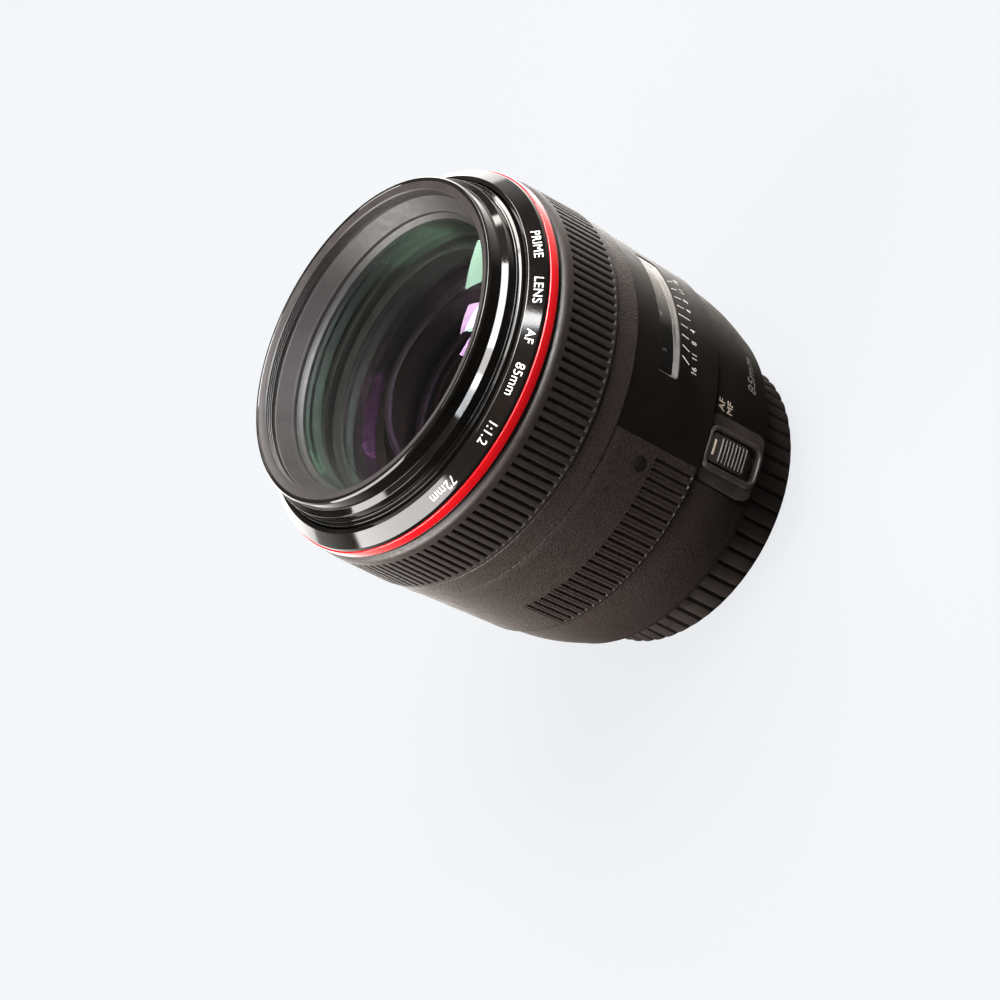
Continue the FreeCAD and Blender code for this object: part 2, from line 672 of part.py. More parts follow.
def iris_blade(level):
    foot = BLADES_FOOT + BLADE_STEP * level
    top = foot + BLADE_THICK
    r, angle = drive_pin_place(0)
    pin_x, pin_y = r * math.cos(math.radians(angle)), r * math.sin(math.radians(angle))
    leaf = sector(BLADE_BORE, BLADE_R, foot, top, -9.0, BLADE_SPAN)
    tab = polygon([(PIVOT_R + 0.8, 0.9, foot), (BLADE_R - 1.0, 1.6, foot), (BLADE_R - 1.4, -3.8, foot),
                   (pin_x + 0.6, pin_y - 0.8, foot)]).extrude(V(0, 0, BLADE_THICK))
    pivot = rod(PIN_R, foot, 37.9, PIVOT_R)
    drive_pin = rod(PIN_R, IRIS_RING_FOOT + 0.1, top, pin_x, pin_y)
    return around(level * 360.0 / BLADES, fused([leaf, tab, pivot, drive_pin]))


# ---------------------------------------------------------------- all nodes
NODES = {
    "rear_cap": rear_cap, "mount_ring": mount_ring, "mount_screws": mount_screws,
    "contact_block": contact_block, "rear_baffle": rear_baffle, "rear_lens_ring": rear_lens_ring,
    "rear_casing": rear_casing, "switch_panel": switch_panel, "switch_slider": switch_slider,
    "switch_contact": switch_contact, "main_barrel": main_barrel, "grip_panel": grip_panel,
    "body_screws": body_screws, "window_bezel": window_bezel, "distance_window": distance_window,
    "rear_band": rear_band, "focus_carrier": focus_carrier, "name_ring": name_ring,
    "red_ring": red_ring, "focus_rubber": focus_rubber, "focus_sleeve": focus_sleeve,
    "focus_encoder": focus_encoder, "guide_sleeve": guide_sleeve, "usm_stator": usm_stator,
    "spring_washer": spring_washer, "thrust_balls": thrust_balls, "ball_cage": ball_cage,
    "circuit_board": circuit_board, "cam_sleeve": cam_sleeve,
    "usm_rotor": usm_rotor, "distance_scale": distance_scale, "filter_ring": filter_ring,
    "front_baffle": front_baffle, "retaining_ring": retaining_ring, "front_cell": front_cell,
    "inner_cell": inner_cell, "rear_cell": rear_cell, "cam_followers": cam_followers,
    "iris_base": iris_base, "iris_cover": iris_cover, "iris_ring": iris_ring,
    "iris_pinion": iris_pinion, "iris_motor": iris_motor,
}

for node, make in NODES.items():
    save(node, up(make()))
save("contact_pins", up(group(contact_pin(a) for a in contact_angles())))
for element, sizes in ELEMENTS.items():
    save(element, up(optic(*sizes)))
for blade in range(BLADES):
    save("iris_blade_%d" % (blade + 1), up(iris_blade(blade)))
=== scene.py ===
import math

import bpy
from mathutils import Matrix, Vector


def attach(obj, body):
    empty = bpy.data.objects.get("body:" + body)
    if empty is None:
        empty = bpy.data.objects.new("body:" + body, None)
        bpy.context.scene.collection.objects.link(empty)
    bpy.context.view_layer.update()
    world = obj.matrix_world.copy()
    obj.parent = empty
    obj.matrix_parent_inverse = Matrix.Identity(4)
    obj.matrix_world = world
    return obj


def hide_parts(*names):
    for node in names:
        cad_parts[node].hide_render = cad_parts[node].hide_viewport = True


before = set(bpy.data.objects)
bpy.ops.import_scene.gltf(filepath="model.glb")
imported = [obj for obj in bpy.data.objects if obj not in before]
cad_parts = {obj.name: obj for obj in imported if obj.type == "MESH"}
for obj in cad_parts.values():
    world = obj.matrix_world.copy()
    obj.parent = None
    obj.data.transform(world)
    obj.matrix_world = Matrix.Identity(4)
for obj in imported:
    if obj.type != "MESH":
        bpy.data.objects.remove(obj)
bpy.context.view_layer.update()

# A large-aperture prime lens, standing on its rear cap.  Every length below is in
# millimetres and every height is above the lens's flange plane, as on a drawing.
MM = 0.001
CAP_HEIGHT = 12.0
TOP_ANGLE = -90.0                     # the top of the lens, with its window, faces -Y
SWITCH_ANGLE = TOP_ANGLE - 35.5
CAMERA_AZIMUTH = -143.5
GRIP_HALF_GAP = 43.5                  # degrees from the top to the grip, each way
GRIP_START, GRIP_END = TOP_ANGLE + GRIP_HALF_GAP, TOP_ANGLE - GRIP_HALF_GAP + 360

RUBBER_R, BAND_R = 45.75, 45.3
BARREL_FRONT_R, BARREL_REAR_R = 45.1, 44.0
CASING_FRONT_R, CASING_REAR_R = 43.3, 39.4
CAP_R = 34.1
RUBBER_TOP, RUBBER_FOOT = 69.1, 52.9
RIBS_TOP, RIBS_FOOT = 66.2, 53.7
SEAM_Z, STEP_Z, RIM_Z = 46.6, 21.4, 84.0
WINDOW_FOOT, WINDOW_TOP, WINDOW_HALF_ANGLE = 33.5, 39.8, 23.0
WINDOW_MARGIN = 0.8                   # from the opening to the bezel's outside
DRUM_R = 41.5
PANEL_FOOT, PANEL_TOP = 4.9, STEP_Z - 0.15
POCKET_FOOT, POCKET_TOP = 6.1, 20.7
FLUTES, RIBS = 56, 126                # round the cap, round the focus rubber
RIB_PITCH, RIBS_PER_SIDE, FIRST_RIB = 2.87, 22, 45.9      # degrees round the grip, from the top
SCREW_Z, SCREW_OFFSET = 36.7, 49.9
SCALE_SWEEP = 100.0                   # degrees from the nearest distance to infinity
FLOOR_GLOW, FAR_SIDE = 0.82, 32.0     # FAR_SIDE: azimuth of the floor's bright side


# ---------------------------------------------------------------- mesh tools
def place(r, angle, z):
    """The point at a radius, an angle in degrees and a height, in metres."""
    turn = math.radians(angle)
    return (r * math.cos(turn) * MM, r * math.sin(turn) * MM, (z + CAP_HEIGHT) * MM)


def make_piece(name, points, faces, material, body, sharp=40.0):
    mesh = bpy.data.meshes.new(name)
    mesh.from_pydata(points, [], faces)
    mesh.validate()
    mesh.update()
    for face in mesh.polygons:
        face.use_smooth = True
    mesh.set_sharp_from_angle(angle=math.radians(sharp))
    piece = bpy.data.objects.new(name, mesh)
    bpy.context.scene.collection.objects.link(piece)
    mesh.materials.append(material)
    weighted = piece.modifiers.new("even_normals", "WEIGHTED_NORMAL")
    weighted.keep_sharp = True
    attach(piece, body)
    return piece


def rounded(corners, fillet=0.12, steps=4):
    """A closed outline with its corners rounded; a corner may give its own fillet as a third value."""
    outline = []
    count = len(corners)
    for i, corner in enumerate(corners):
        here = Vector(corner[:2])
        before, after = Vector(corners[i - 1][:2]), Vector(corners[(i + 1) % count][:2])
        radius = corner[2] if len(corner) > 2 else fillet
        to_before, to_after = (before - here), (after - here)
        half = to_before.angle(to_after) / 2
        if radius <= 0 or half > math.radians(88):
            outline.append(tuple(here))
            continue
        setback = min(radius / math.tan(half), 0.45 * to_before.length, 0.45 * to_after.length)
        start = here + to_before.normalized() * setback
        end = here + to_after.normalized() * setback
        for k in range(steps + 1):
            t = k / steps
            outline.append(tuple(start * (1 - t) ** 2 + here * 2 * t * (1 - t) + end * t * t))
    return outline


def joined(groups):
    """Several (points, faces) lists as one."""
    points, faces = [], []
    for more_points, more_faces in groups:
        base = len(points)
        points += more_points
        faces += [tuple(base + i for i in face) for face in more_faces]
    return points, faces


def swept(outline, start=0.0, end=360.0, steps=320, shift=None):
    """A closed (r, z) outline turned about the axis; shift(angle, r, z) may move each point's r."""
    whole = abs(end - start) >= 359.99
    count = len(outline)
    rings = steps if whole else steps + 1
    points = []
    for i in range(rings):
        angle = start + (end - start) * i / steps
        for r, z in outline:
            points.append(place(shift(angle, r, z) if shift else r, angle, z))
    faces = []
    for i in range(steps):
        a, b = i * count, ((i + 1) % rings) * count
        for k in range(count):
            n = (k + 1) % count
            faces.append((a + k, b + k, b + n, a + n))
    if not whole:
        faces.append(tuple(range(count - 1, -1, -1)))
        last = steps * count
        faces.append(tuple(last + k for k in range(count)))
    return points, faces


def disc(outline, steps=256):
    """An open (r, z) outline that starts and ends on the axis, turned into a closed body."""
    inner = outline[1:-1]
    count = len(inner)
    points = [place(0, 0, outline[0][1]), place(0, 0, outline[-1][1])]
    for i in range(steps):
        for r, z in inner:
            points.append(place(r, 360.0 * i / steps, z))
    faces = []
    for i in range(steps):
        a, b = 2 + i * count, 2 + ((i + 1) % steps) * count
        faces.append((0, b, a))
        for k in range(count - 1):
            faces.append((a + k, b + k, b + k + 1, a + k + 1))
        faces.append((a + count - 1, b + count - 1, 1))
    return points, faces


def rounded_box(half_u, half_z, corner, per_corner=8, per_side=24):
    """Points round a rounded rectangle, the same number whatever its size."""
    corner = min(corner, half_u, half_z)
    centres = ((half_u - corner, half_z - corner, 0), (corner - half_u, half_z - corner, 90),
               (corner - half_u, corner - half_z, 180), (half_u - corner, corner - half_z, 270))
    loop = []
    for i, (cu, cz, turn) in enumerate(centres):
        for k in range(per_corner + 1):
            angle = math.radians(turn + 90 * k / per_corner)
            loop.append((cu + corner * math.cos(angle), cz + corner * math.sin(angle)))
        nu, nz, _ = centres[(i + 1) % 4]
        angle = math.radians(turn + 90)
        start = loop[-1]
        end = (nu + corner * math.cos(angle), nz + corner * math.sin(angle))
        for k in range(1, per_side):
            t = k / per_side
            loop.append((start[0] + (end[0] - start[0]) * t, start[1] + (end[1] - start[1]) * t))
    return loop


def wrapped(sections, angle, z, hollow=False, scale_r=44.0):
    """Stacked rounded rectangles wrapped round the barrel.

    A section is (half width, half height, corner, radius[, shift in z]); the radius may be
    a function of height.  Solid stacks are closed over a middle line.
    """
    loops = []
    for half_u, half_z, corner, r, *rest in sections:
        dz = rest[0] if rest else 0.0
        loop = []
        for u, v in rounded_box(half_u, half_z, corner):
            height = z + v + dz
            radius = r(height) if callable(r) else r
            loop.append(place(radius, angle + math.degrees(u / scale_r), height))
        loops.append(loop)
    count = len(loops[0])
    points = [p for loop in loops for p in loop]
    faces = []
    pairs = len(loops) if hollow else len(loops) - 1
    for i in range(pairs):
        a, b = i * count, ((i + 1) % len(loops)) * count
        for k in range(count):
            n = (k + 1) % count
            faces.append((a + k, a + n, b + n, b + k))
    return points, faces


def inset_cap(half_u, half_z, corner, r, dz=0.0):
    """Shrinking rounded rectangles that close a wrapped stack with even faces."""
    caps = []
    for share in (0.66, 0.33, 0.02):
        inset = half_z * (1 - share)
        caps.append((max(half_u - inset, 0.01), half_z * share, max(corner * share, 0.004), r, dz))
    return caps


# ---------------------------------------------------------------- material tools
class Shade:
    """A new material, with short ways to add and join its nodes."""

    def __init__(self, name):
        self.material = bpy.data.materials.new(name)
        self.material.use_nodes = True
        self.tree = self.material.node_tree
        self.surface = self.tree.nodes["Principled BSDF"]
        self.where = self.tree.nodes.new("ShaderNodeTexCoord").outputs["Object"]

    def set(self, **values):
        for key, value in values.items():
            self.surface.inputs[key.replace("_", " ")].default_value = value
        return self

    def link(self, source, target):
        self.tree.links.new(source, target)

    def add(self, kind, **values):
        node = self.tree.nodes.new(kind)
        for key, value in values.items():
            node.inputs[key.replace("_", " ")].default_value = value
        return node

    def noise(self, scale, detail=3.0, rough=0.5):
        node = self.add("ShaderNodeTexNoise", Scale=scale, Detail=detail, Roughness=rough)
        self.link(self.where, node.inputs["Vector"])
        return node.outputs["Fac"]

    def cells(self, scale):
        node = self.add("ShaderNodeTexVoronoi", Scale=scale)
        self.link(self.where, node.inputs["Vector"])
        return node.outputs["Distance"]

    def ramp(self, source, stops):
        node = self.tree.nodes.new("ShaderNodeValToRGB")
        elements = node.color_ramp.elements
        while len(elements) < len(stops):
            elements.new(0.5)
        for element, (position, colour) in zip(elements, stops):
            element.position = position
            element.color = colour
        self.link(source, node.inputs["Fac"])
        return node.outputs["Color"]

    def span(self, source, low, high, from_low=0.3, from_high=0.7):
        node = self.add("ShaderNodeMapRange", From_Min=from_low, From_Max=from_high, To_Min=low, To_Max=high)
        self.link(source, node.inputs["Value"])
        return node.outputs["Result"]

    def maths(self, operation, a, b=None):
        node = self.tree.nodes.new("ShaderNodeMath")
        node.operation = operation
        for socket, value in zip(node.inputs, (a, b)):
            if value is None:
                continue
            if isinstance(value, (int, float)):
                socket.default_value = value
            else:
                self.link(value, socket)
        return node.outputs[0]

    def mixed(self, share, a, b):
        node = self.tree.nodes.new("ShaderNodeMix")
        node.data_type = "RGBA"
        for socket, value in ((node.inputs[0], share), (node.inputs[6], a), (node.inputs[7], b)):
            if isinstance(value, (int, float, tuple)):
                socket.default_value = value
            else:
                self.link(value, socket)
        return node.outputs[2]

    def colour(self, source):
        self.link(source, self.surface.inputs["Base Color"])

    def roughness(self, source):
        self.link(source, self.surface.inputs["Roughness"])

    def bump(self, source, depth, strength=1.0):
        node = self.add("ShaderNodeBump", Strength=strength, Distance=depth)
        self.link(source, node.inputs["Height"])
        self.link(node.outputs["Normal"], self.surface.inputs["Normal"])


def rgb(r, g, b):
    return (r, g, b, 1.0)


def painted(name, dark, light, rough_low, rough_high, specular, coat=0.0):
    shade = Shade(name).set(Specular_IOR_Level=specular, Coat_Weight=coat, Coat_Roughness=0.06)
    cloud = shade.noise(90.0, 4.0)
    shade.colour(shade.ramp(cloud, [(0.35, dark), (0.7, light)]))
    shade.roughness(shade.span(shade.noise(260.0, 5.0), rough_low, rough_high))
    shade.bump(shade.noise(2600.0, 2.0), 0.000006, 0.5)
    return shade


def gloss_black():
    shade = painted("gloss_black", rgb(0.004, 0.0035, 0.003), rgb(0.007, 0.006, 0.0055), 0.045, 0.08, 0.5)
    return shade.material


def name_black():
    return painted("name_black", rgb(0.004, 0.0035, 0.003), rgb(0.008, 0.006, 0.005), 0.07, 0.11, 0.5).material


def satin_black():
    shade = painted("satin_black", rgb(0.0065, 0.0045, 0.0036), rgb(0.011, 0.008, 0.0068), 0.33, 0.41, 0.42)
    return shade.material


def crackle(name, base, lift, share=None):
    """Black crackle paint; share may be a 0..1 mask maker that fades the texture out."""
    shade = Shade(name).set(Specular_IOR_Level=0.42)
    grain = shade.cells(2300.0)
    fine = shade.noise(5200.0, 2.0)
    height = shade.maths("ADD", grain, shade.maths("MULTIPLY", fine, 0.5))
    mask = share(shade) if share else None
    colour = shade.ramp(grain, [(0.15, lift), (0.75, base)])
    if mask is not None:
        height = shade.maths("MULTIPLY", height, mask)
        colour = shade.mixed(mask, rgb(0.009, 0.0065, 0.0055), colour)
    shade.colour(colour)
    shade.roughness(shade.span(shade.noise(420.0, 4.0), 0.34, 0.46))
    shade.bump(height, 0.00011, 0.8)
    return shade.material


def around_top(shade):
    """0 near the top of the lens, 1 on its lower three quarters, with a short fade between."""
    split = shade.tree.nodes.new("ShaderNodeSeparateXYZ")
    shade.link(shade.where, split.inputs[0])
    angle = shade.maths("ARCTAN2", shade.maths("ABSOLUTE", split.outputs["X"]),
                        shade.maths("MULTIPLY", split.outputs["Y"], -1.0))
    edge, soft = math.radians(GRIP_HALF_GAP + 3.0), 0.004
    return shade.span(angle, 0.0, 1.0, edge - soft, edge + soft)


def rubber():
    shade = Shade("ribbed_rubber").set(Specular_IOR_Level=0.5)
    dust = shade.noise(700.0, 6.0, 0.65)
    shade.colour(shade.ramp(dust, [(0.3, rgb(0.020, 0.015, 0.013)), (0.75, rgb(0.036, 0.028, 0.0255))]))
    shade.roughness(shade.span(shade.noise(900.0, 4.0), 0.40, 0.54))
    shade.bump(shade.noise(6500.0, 3.0), 0.00003, 0.5)
    return shade.material


def red_enamel():
    shade = Shade("red_enamel").set(Specular_IOR_Level=0.5, Coat_Weight=0.5, Coat_Roughness=0.08)
    reds = [(0.3, rgb(0.62, 0.005, 0.010)), (0.7, rgb(0.68, 0.008, 0.012))]
    shade.colour(shade.ramp(shade.noise(120.0), reds))
    shade.roughness(shade.span(shade.noise(300.0), 0.22, 0.27))
    return shade.material


def moulded(name, dark, light, low, high, depth=0.00002):
    shade = Shade(name).set(Specular_IOR_Level=0.42)
    shade.colour(shade.ramp(shade.noise(220.0, 4.0), [(0.3, dark), (0.7, light)]))
    shade.roughness(shade.span(shade.noise(600.0, 4.0), low, high))
    shade.bump(shade.noise(4200.0, 3.0), depth, 0.6)
    return shade.material


def metal(name, dark, light, low, high, rings=0.0):
    """Turned or lapped metal; rings adds fine lathe marks along the axis."""
    shade = Shade(name).set(Metallic=1.0)
    shade.colour(shade.ramp(shade.noise(160.0, 3.0), [(0.3, dark), (0.7, light)]))
    shade.roughness(shade.span(shade.noise(800.0, 4.0), low, high))
    if rings:
        wave = shade.add("ShaderNodeTexWave", Scale=rings, Distortion=0.6, Detail=2.0)
        wave.bands_direction = "Z"
        shade.link(shade.where, wave.inputs["Vector"])
        shade.bump(wave.outputs["Fac"], 0.00001, 0.5)
    else:
        shade.bump(shade.noise(3000.0), 0.000006, 0.4)
    return shade.material


def anodised(name, dark, light, low=0.38, high=0.5, rings=700.0):
    shade = Shade(name).set(Specular_IOR_Level=0.5)
    shade.colour(shade.ramp(shade.noise(240.0, 4.0), [(0.3, dark), (0.7, light)]))
    shade.roughness(shade.span(shade.noise(700.0), low, high))
    wave = shade.add("ShaderNodeTexWave", Scale=rings, Distortion=0.4, Detail=2.0)
    wave.bands_direction = "Z"
    shade.link(shade.where, wave.inputs["Vector"])
    shade.bump(wave.outputs["Fac"], 0.00001, 0.35)
    return shade.material


def paint_mark(name, colour):
    shade = Shade(name).set(Specular_IOR_Level=0.35)
    low = tuple(c * 0.82 for c in colour[:3])
    shade.colour(shade.ramp(shade.noise(1500.0, 4.0), [(0.3, (*low, 1)), (0.6, colour)]))
    shade.roughness(shade.span(shade.noise(900.0), 0.40, 0.50))
    return shade.material


def coated_glass(name, tint, coat_front, coat_edge, share=(0.04, 0.3)):
    """Glass under a coating: clear from the front, and a coloured mirror towards grazing angles."""
    shade = Shade(name).set(Metallic=1.0, Roughness=0.015)
    facing = shade.add("ShaderNodeLayerWeight", Blend=0.5).outputs["Facing"]
    smear = shade.maths("MULTIPLY", shade.noise(25.0, 2.0), 0.12)
    shade.colour(shade.ramp(shade.maths("ADD", facing, smear), [(0.12, coat_front), (0.85, coat_edge)]))
    clear = shade.add("ShaderNodeBsdfTransparent", Color=tint)
    mix = shade.add("ShaderNodeMixShader")
    shade.link(shade.span(shade.maths("POWER", facing, 2.2), share[0], share[1], 0.0, 1.0), mix.inputs[0])
    shade.link(clear.outputs[0], mix.inputs[1])
    shade.link(shade.surface.outputs[0], mix.inputs[2])
    shade.link(mix.outputs[0], shade.tree.nodes["Material Output"].inputs["Surface"])
    return shade.material


# ---------------------------------------------------------------- rear cap
def flute_shift(angle, r, z):
    """Rounded ribs and narrow valleys round the cap's side."""
    if r < CAP_R - 1.25 or z > -0.35 or z < -11.9:
        return r
    phase = (angle * FLUTES / 360.0) % 1.0
    valley = max(0.0, 1 - abs(phase - 0.5) / 0.16)
    crown = 0.22 * (2 * abs(phase - 0.5) - 1) ** 2
    return r - 0.62 * valley * valley * (3 - 2 * valley) - crown


def build_rear_cap(material):
    wall = 29.6
    outline = rounded([(24.5, -12.0, 0.2), (CAP_R - 1.0, -12.0, 0.6), (CAP_R, -10.9, 0.7), (CAP_R, -0.8, 0.3),
                       (CAP_R - 0.4, -0.3, 0.15), (wall, -0.3, 0.1), (wall, -10.0, 0.3), (24.5, -10.0, 0)])
    shell = swept(outline, steps=FLUTES * 14, shift=flute_shift)
    floor = disc([(0, -11.6), (24.0, -11.6), (24.55, -11.9), (24.6, -10.0), (0, -10.0)], steps=112)
    tabs = [swept(rounded([(27.3, -2.3), (wall + 0.3, -2.3), (wall + 0.3, -0.7), (27.3, -0.7)], 0.1),
                  a + 35, a + 85, 24) for a in (0, 120, 240)]
    piece = make_piece("cap_moulding", *joined([shell, floor] + tabs), material, "rear_cap")
    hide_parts("rear_cap")


# ---------------------------------------------------------------- rear casing and switch
def casing_outline():
    """The casing's outer curve from its foot up to the barrel's step."""
    points = []
    for k in range(15):
        t = k / 14
        z = 2.0 + (STEP_Z - 0.2 - 2.0) * t
        bulge = math.sin(math.pi * t) * 1.05
        points.append((CASING_REAR_R + (CASING_FRONT_R - CASING_REAR_R) * t + bulge * (1 - 0.15 * t), z))
    return points


def casing_r(z):
    points = casing_outline()
    for (r0, z0), (r1, z1) in zip(points, points[1:]):
        if z <= z1:
            return r0 + (r1 - r0) * max(0.0, (z - z0) / (z1 - z0))
    return points[-1][0]


def build_casing(material):
    curve = casing_outline()
    inner = [(r - 1.6, max(z, 2.8)) for r, z in reversed(curve)]
    foot = [(25.2, 1.2), (CASING_REAR_R - 0.7, 1.2), (CASING_REAR_R - 0.25, 1.45)]
    outline = foot + curve + inner + [(25.2, 2.8)]
    shell = swept(outline, steps=360)
    tongue = swept([(41.0, STEP_Z - 0.3), (42.15, STEP_Z - 0.3), (42.15, 24.0), (41.0, 24.0)], steps=120)
    piece = make_piece("rear_casing_shell", *joined([shell, tongue]), material, "barrel", sharp=35)
    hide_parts("rear_casing")


def build_switch_panel(material):
    """A raised rim round the slider, on a low flat pad that runs into the casing."""
    middle = (PANEL_FOOT + PANEL_TOP) / 2
    half = (PANEL_TOP - PANEL_FOOT) / 2
    pocket_middle = (POCKET_FOOT + POCKET_TOP) / 2
    pocket_half = (POCKET_TOP - POCKET_FOOT) / 2
    shift = pocket_middle - middle
    low = lambda z: casing_r(z) - 0.25
    rim = wrapped([(5.35, half, 2.6, low), (5.25, half - 0.05, 2.55, 43.2), (5.0, half - 0.25, 2.4, 43.75),
                   (4.65, half - 0.45, 2.2, 43.97), (4.15, half - 0.85, 1.95, 43.97),
                   (3.85, pocket_half + 0.15, 1.75, 43.85, shift),
                   (3.72, pocket_half + 0.04, 1.65, 43.6, shift),
                   (3.68, pocket_half, 1.6, 41.6, shift)] + inset_cap(3.68, pocket_half, 1.6, 41.6, shift),
                  SWITCH_ANGLE, middle)
    pad_half = 8.1
    pad_r = lambda z: max(casing_r(z) + 0.08, 43.15)
    pad = wrapped([(pad_half, half + 0.2, 2.4, low),
                   (pad_half - 0.1, half + 0.1, 2.4, lambda z: pad_r(z) - 0.12),
                   (pad_half - 0.3, half, 2.3, pad_r), (5.2, half - 0.2, 2.0, pad_r)], SWITCH_ANGLE, middle)
    piece = make_piece("switch_frame", *joined([pad, rim]), material, "barrel", sharp=50)
    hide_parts("switch_panel")


def build_slider(material, mark):
    foot, top = 9.0, POCKET_TOP - 0.3
    middle, half = (foot + top) / 2, (top - foot) / 2
    base = wrapped([(3.35, half, 1.4, 41.8), (3.35, half, 1.4, 43.55), (3.27, half - 0.08, 1.35, 43.72),
                    (3.15, half - 0.2, 1.3, 43.78)] + inset_cap(3.15, half - 0.2, 1.3, 43.78),
                   SWITCH_ANGLE, middle)
    ridges = []
    for i in range(8):
        z = 9.95 + 1.0 * i
        ridges.append(wrapped([(2.75, 0.33, 0.14, 43.7), (2.72, 0.29, 0.13, 43.98), (2.64, 0.2, 0.1, 44.1)]
                              + inset_cap(2.64, 0.2, 0.1, 44.1), SWITCH_ANGLE, z))
    piece = make_piece("mode_slider", *joined([base] + ridges), material, "switch", sharp=45)
    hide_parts("switch_slider")
    bar = wrapped([(1.75, 0.24, 0.05, 43.7), (1.75, 0.24, 0.05, 43.83)] + inset_cap(1.75, 0.24, 0.05, 43.83),
                  SWITCH_ANGLE, 19.0)
    index = make_piece("slider_index", *bar, mark, "switch")


# ---------------------------------------------------------------- main barrel
def barrel_r(z):
    share = (z - STEP_Z) / (SEAM_Z - STEP_Z)
    return BARREL_REAR_R + share * (BARREL_FRONT_R - BARREL_REAR_R)


def build_barrel(material):
    """The smooth upper cover, in three bands so that the window's opening is left free."""
    start, end = GRIP_END - 360, GRIP_START
    low, high = WINDOW_FOOT - WINDOW_MARGIN, WINDOW_TOP + WINDOW_MARGIN
    edge = WINDOW_HALF_ANGLE + WINDOW_MARGIN * 1.3
    outline = rounded([(42.2, STEP_Z, 0), (BARREL_REAR_R, STEP_Z, 0.35), (barrel_r(low), low, 0),
                       (42.9, low, 0)], 0.0, 5)
    front = rounded([(42.9, high, 0), (barrel_r(high), high, 0), (BARREL_FRONT_R, SEAM_Z, 0.3),
                     (42.4, SEAM_Z, 0)], 0.0, 5)
    side = [(42.9, low), (barrel_r(low), low), (barrel_r(high), high), (42.9, high)]
    bands = [swept(outline, start, end, 130), swept(front, start, end, 130),
             swept(side, start, TOP_ANGLE - edge, 30), swept(side, TOP_ANGLE + edge, end, 30)]
    liner = swept(rounded([(42.2, STEP_Z, 0), (43.3, STEP_Z, 0), (BARREL_FRONT_R - 0.8, SEAM_Z, 0),
                           (42.4, SEAM_Z, 0)], 0.0), GRIP_START, GRIP_END, 200)
    piece = make_piece("barrel_cover", *joined(bands + [liner]), material, "barrel", sharp=30)
    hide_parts("main_barrel")


def grip_depth(angle, z):
    """How deep the grip's pattern is cut: a wide slot and a thin line for each rib."""
    from_top = abs((angle - TOP_ANGLE + 180) % 360 - 180)
    rib = (from_top - FIRST_RIB) / RIB_PITCH
    if rib < 0 or rib > RIBS_PER_SIDE:
        return 0.0
    fade = min(1.0, max(0.0, (33.3 - z) / 0.25)) * min(1.0, max(0.0, (z - STEP_Z - 0.35) / 0.25))
    phase = rib % 1.0
    slot = min(1.0, max(0.0, 1 - (abs(phase - 0.30) - 0.12) / 0.07))
    line = min(1.0, max(0.0, 1 - (abs(phase - 0.76) - 0.02) / 0.06))
    return fade * (0.50 * slot + 0.16 * line)


def build_grip(material):
    """The lower cover: its outer skin is cut into two patches of ribs."""
    steps_per_rib = 20
    step = RIB_PITCH / steps_per_rib
    count = int(round((GRIP_END - GRIP_START) / step))
    heights = [STEP_Z + 0.02, STEP_Z + 0.08, STEP_Z + 0.2, STEP_Z + 0.35, STEP_Z + 0.6, 26.0, 30.0, 33.05,
               33.3, 33.45, 36.0, 40.0, 44.0, SEAM_Z - 0.3, SEAM_Z - 0.1, SEAM_Z - 0.02]
    round_in = {0: 0.3, 1: 0.13, 2: 0.03, 13: 0.0, 14: 0.08, 15: 0.25}
    ring = []
    for k, z in enumerate(heights):
        ring.append((barrel_r(z) - round_in.get(k, 0.0), z))
    back = [(BARREL_FRONT_R - 0.85, SEAM_Z - 0.02), (BARREL_REAR_R - 0.75, STEP_Z + 0.02)]
    outline = ring + back

    def shift(angle, r, z):
        outside = r > barrel_r(z) - 0.5
        return r - grip_depth(angle, z) if outside else r

    skin = swept(outline, GRIP_START, GRIP_END, count, shift)
    piece = make_piece("grip_cover", *skin, material, "barrel", sharp=32)
    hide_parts("grip_panel")


def stud(half_u, half_z, corner, z, angle, foot, top):
    """A small rounded plate that stands on the barrel between two heights over its surface."""
    rim = 0.12 * min(half_u, half_z)
    skin = lambda lift: lambda height: barrel_r(height) + lift
    return wrapped([(half_u, half_z, corner, skin(foot)), (half_u, half_z, corner, skin(top - 0.01)),
                    (half_u - rim, half_z - rim, corner, skin(top))]
                   + inset_cap(half_u - rim, half_z - rim, corner, skin(top)), angle, z)


def build_screws(head, dark):
    """Three cross-head screws; each sits on a near-black ring and carries a near-black cross, both painted
    shade for the recesses.
    """
    wells, heads, crosses = [], [], []
    for angle in (TOP_ANGLE - SCREW_OFFSET, TOP_ANGLE + SCREW_OFFSET, TOP_ANGLE + 180):
        # The well and the cross below are near-black plates of painted shade, where the real screw has only
        # shade in its recesses.
        wells.append(stud(1.75, 1.75, 1.75, SCREW_Z, angle, -0.1, 0.05))
        heads.append(stud(1.2, 1.2, 1.2, SCREW_Z, angle, 0.0, 0.13))
        for half_u, half_z in ((0.8, 0.2), (0.2, 0.8)):
            crosses.append(stud(half_u, half_z, 0.05, SCREW_Z, angle, 0.05, 0.155))
    make_piece("screw_well_painted_shade", *joined(wells), dark, "barrel")
    make_piece("screw_cross_painted_shade", *joined(crosses), dark, "barrel")
    piece = make_piece("screw_heads", *joined(heads), head, "barrel")
    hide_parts("body_screws")


def build_edges(paint):
    """Fine beads on the barrel's rear edge and the casing's rear edge."""
    r = barrel_r(STEP_Z)
    front = swept([(r - 0.3, STEP_Z - 0.04), (r - 0.04, STEP_Z), (r + 0.03, STEP_Z + 0.12),
                   (r + 0.03, STEP_Z + 0.34), (r - 0.3, STEP_Z + 0.36)], steps=320)
    foot = casing_r(2.3)
    rear = swept([(foot - 0.3, 2.0), (foot + 0.03, 2.15), (foot + 0.05, 2.4), (foot - 0.3, 2.4)], steps=320)
    piece = make_piece("bright_edges", *joined([front, rear]), paint, "barrel", sharp=50)


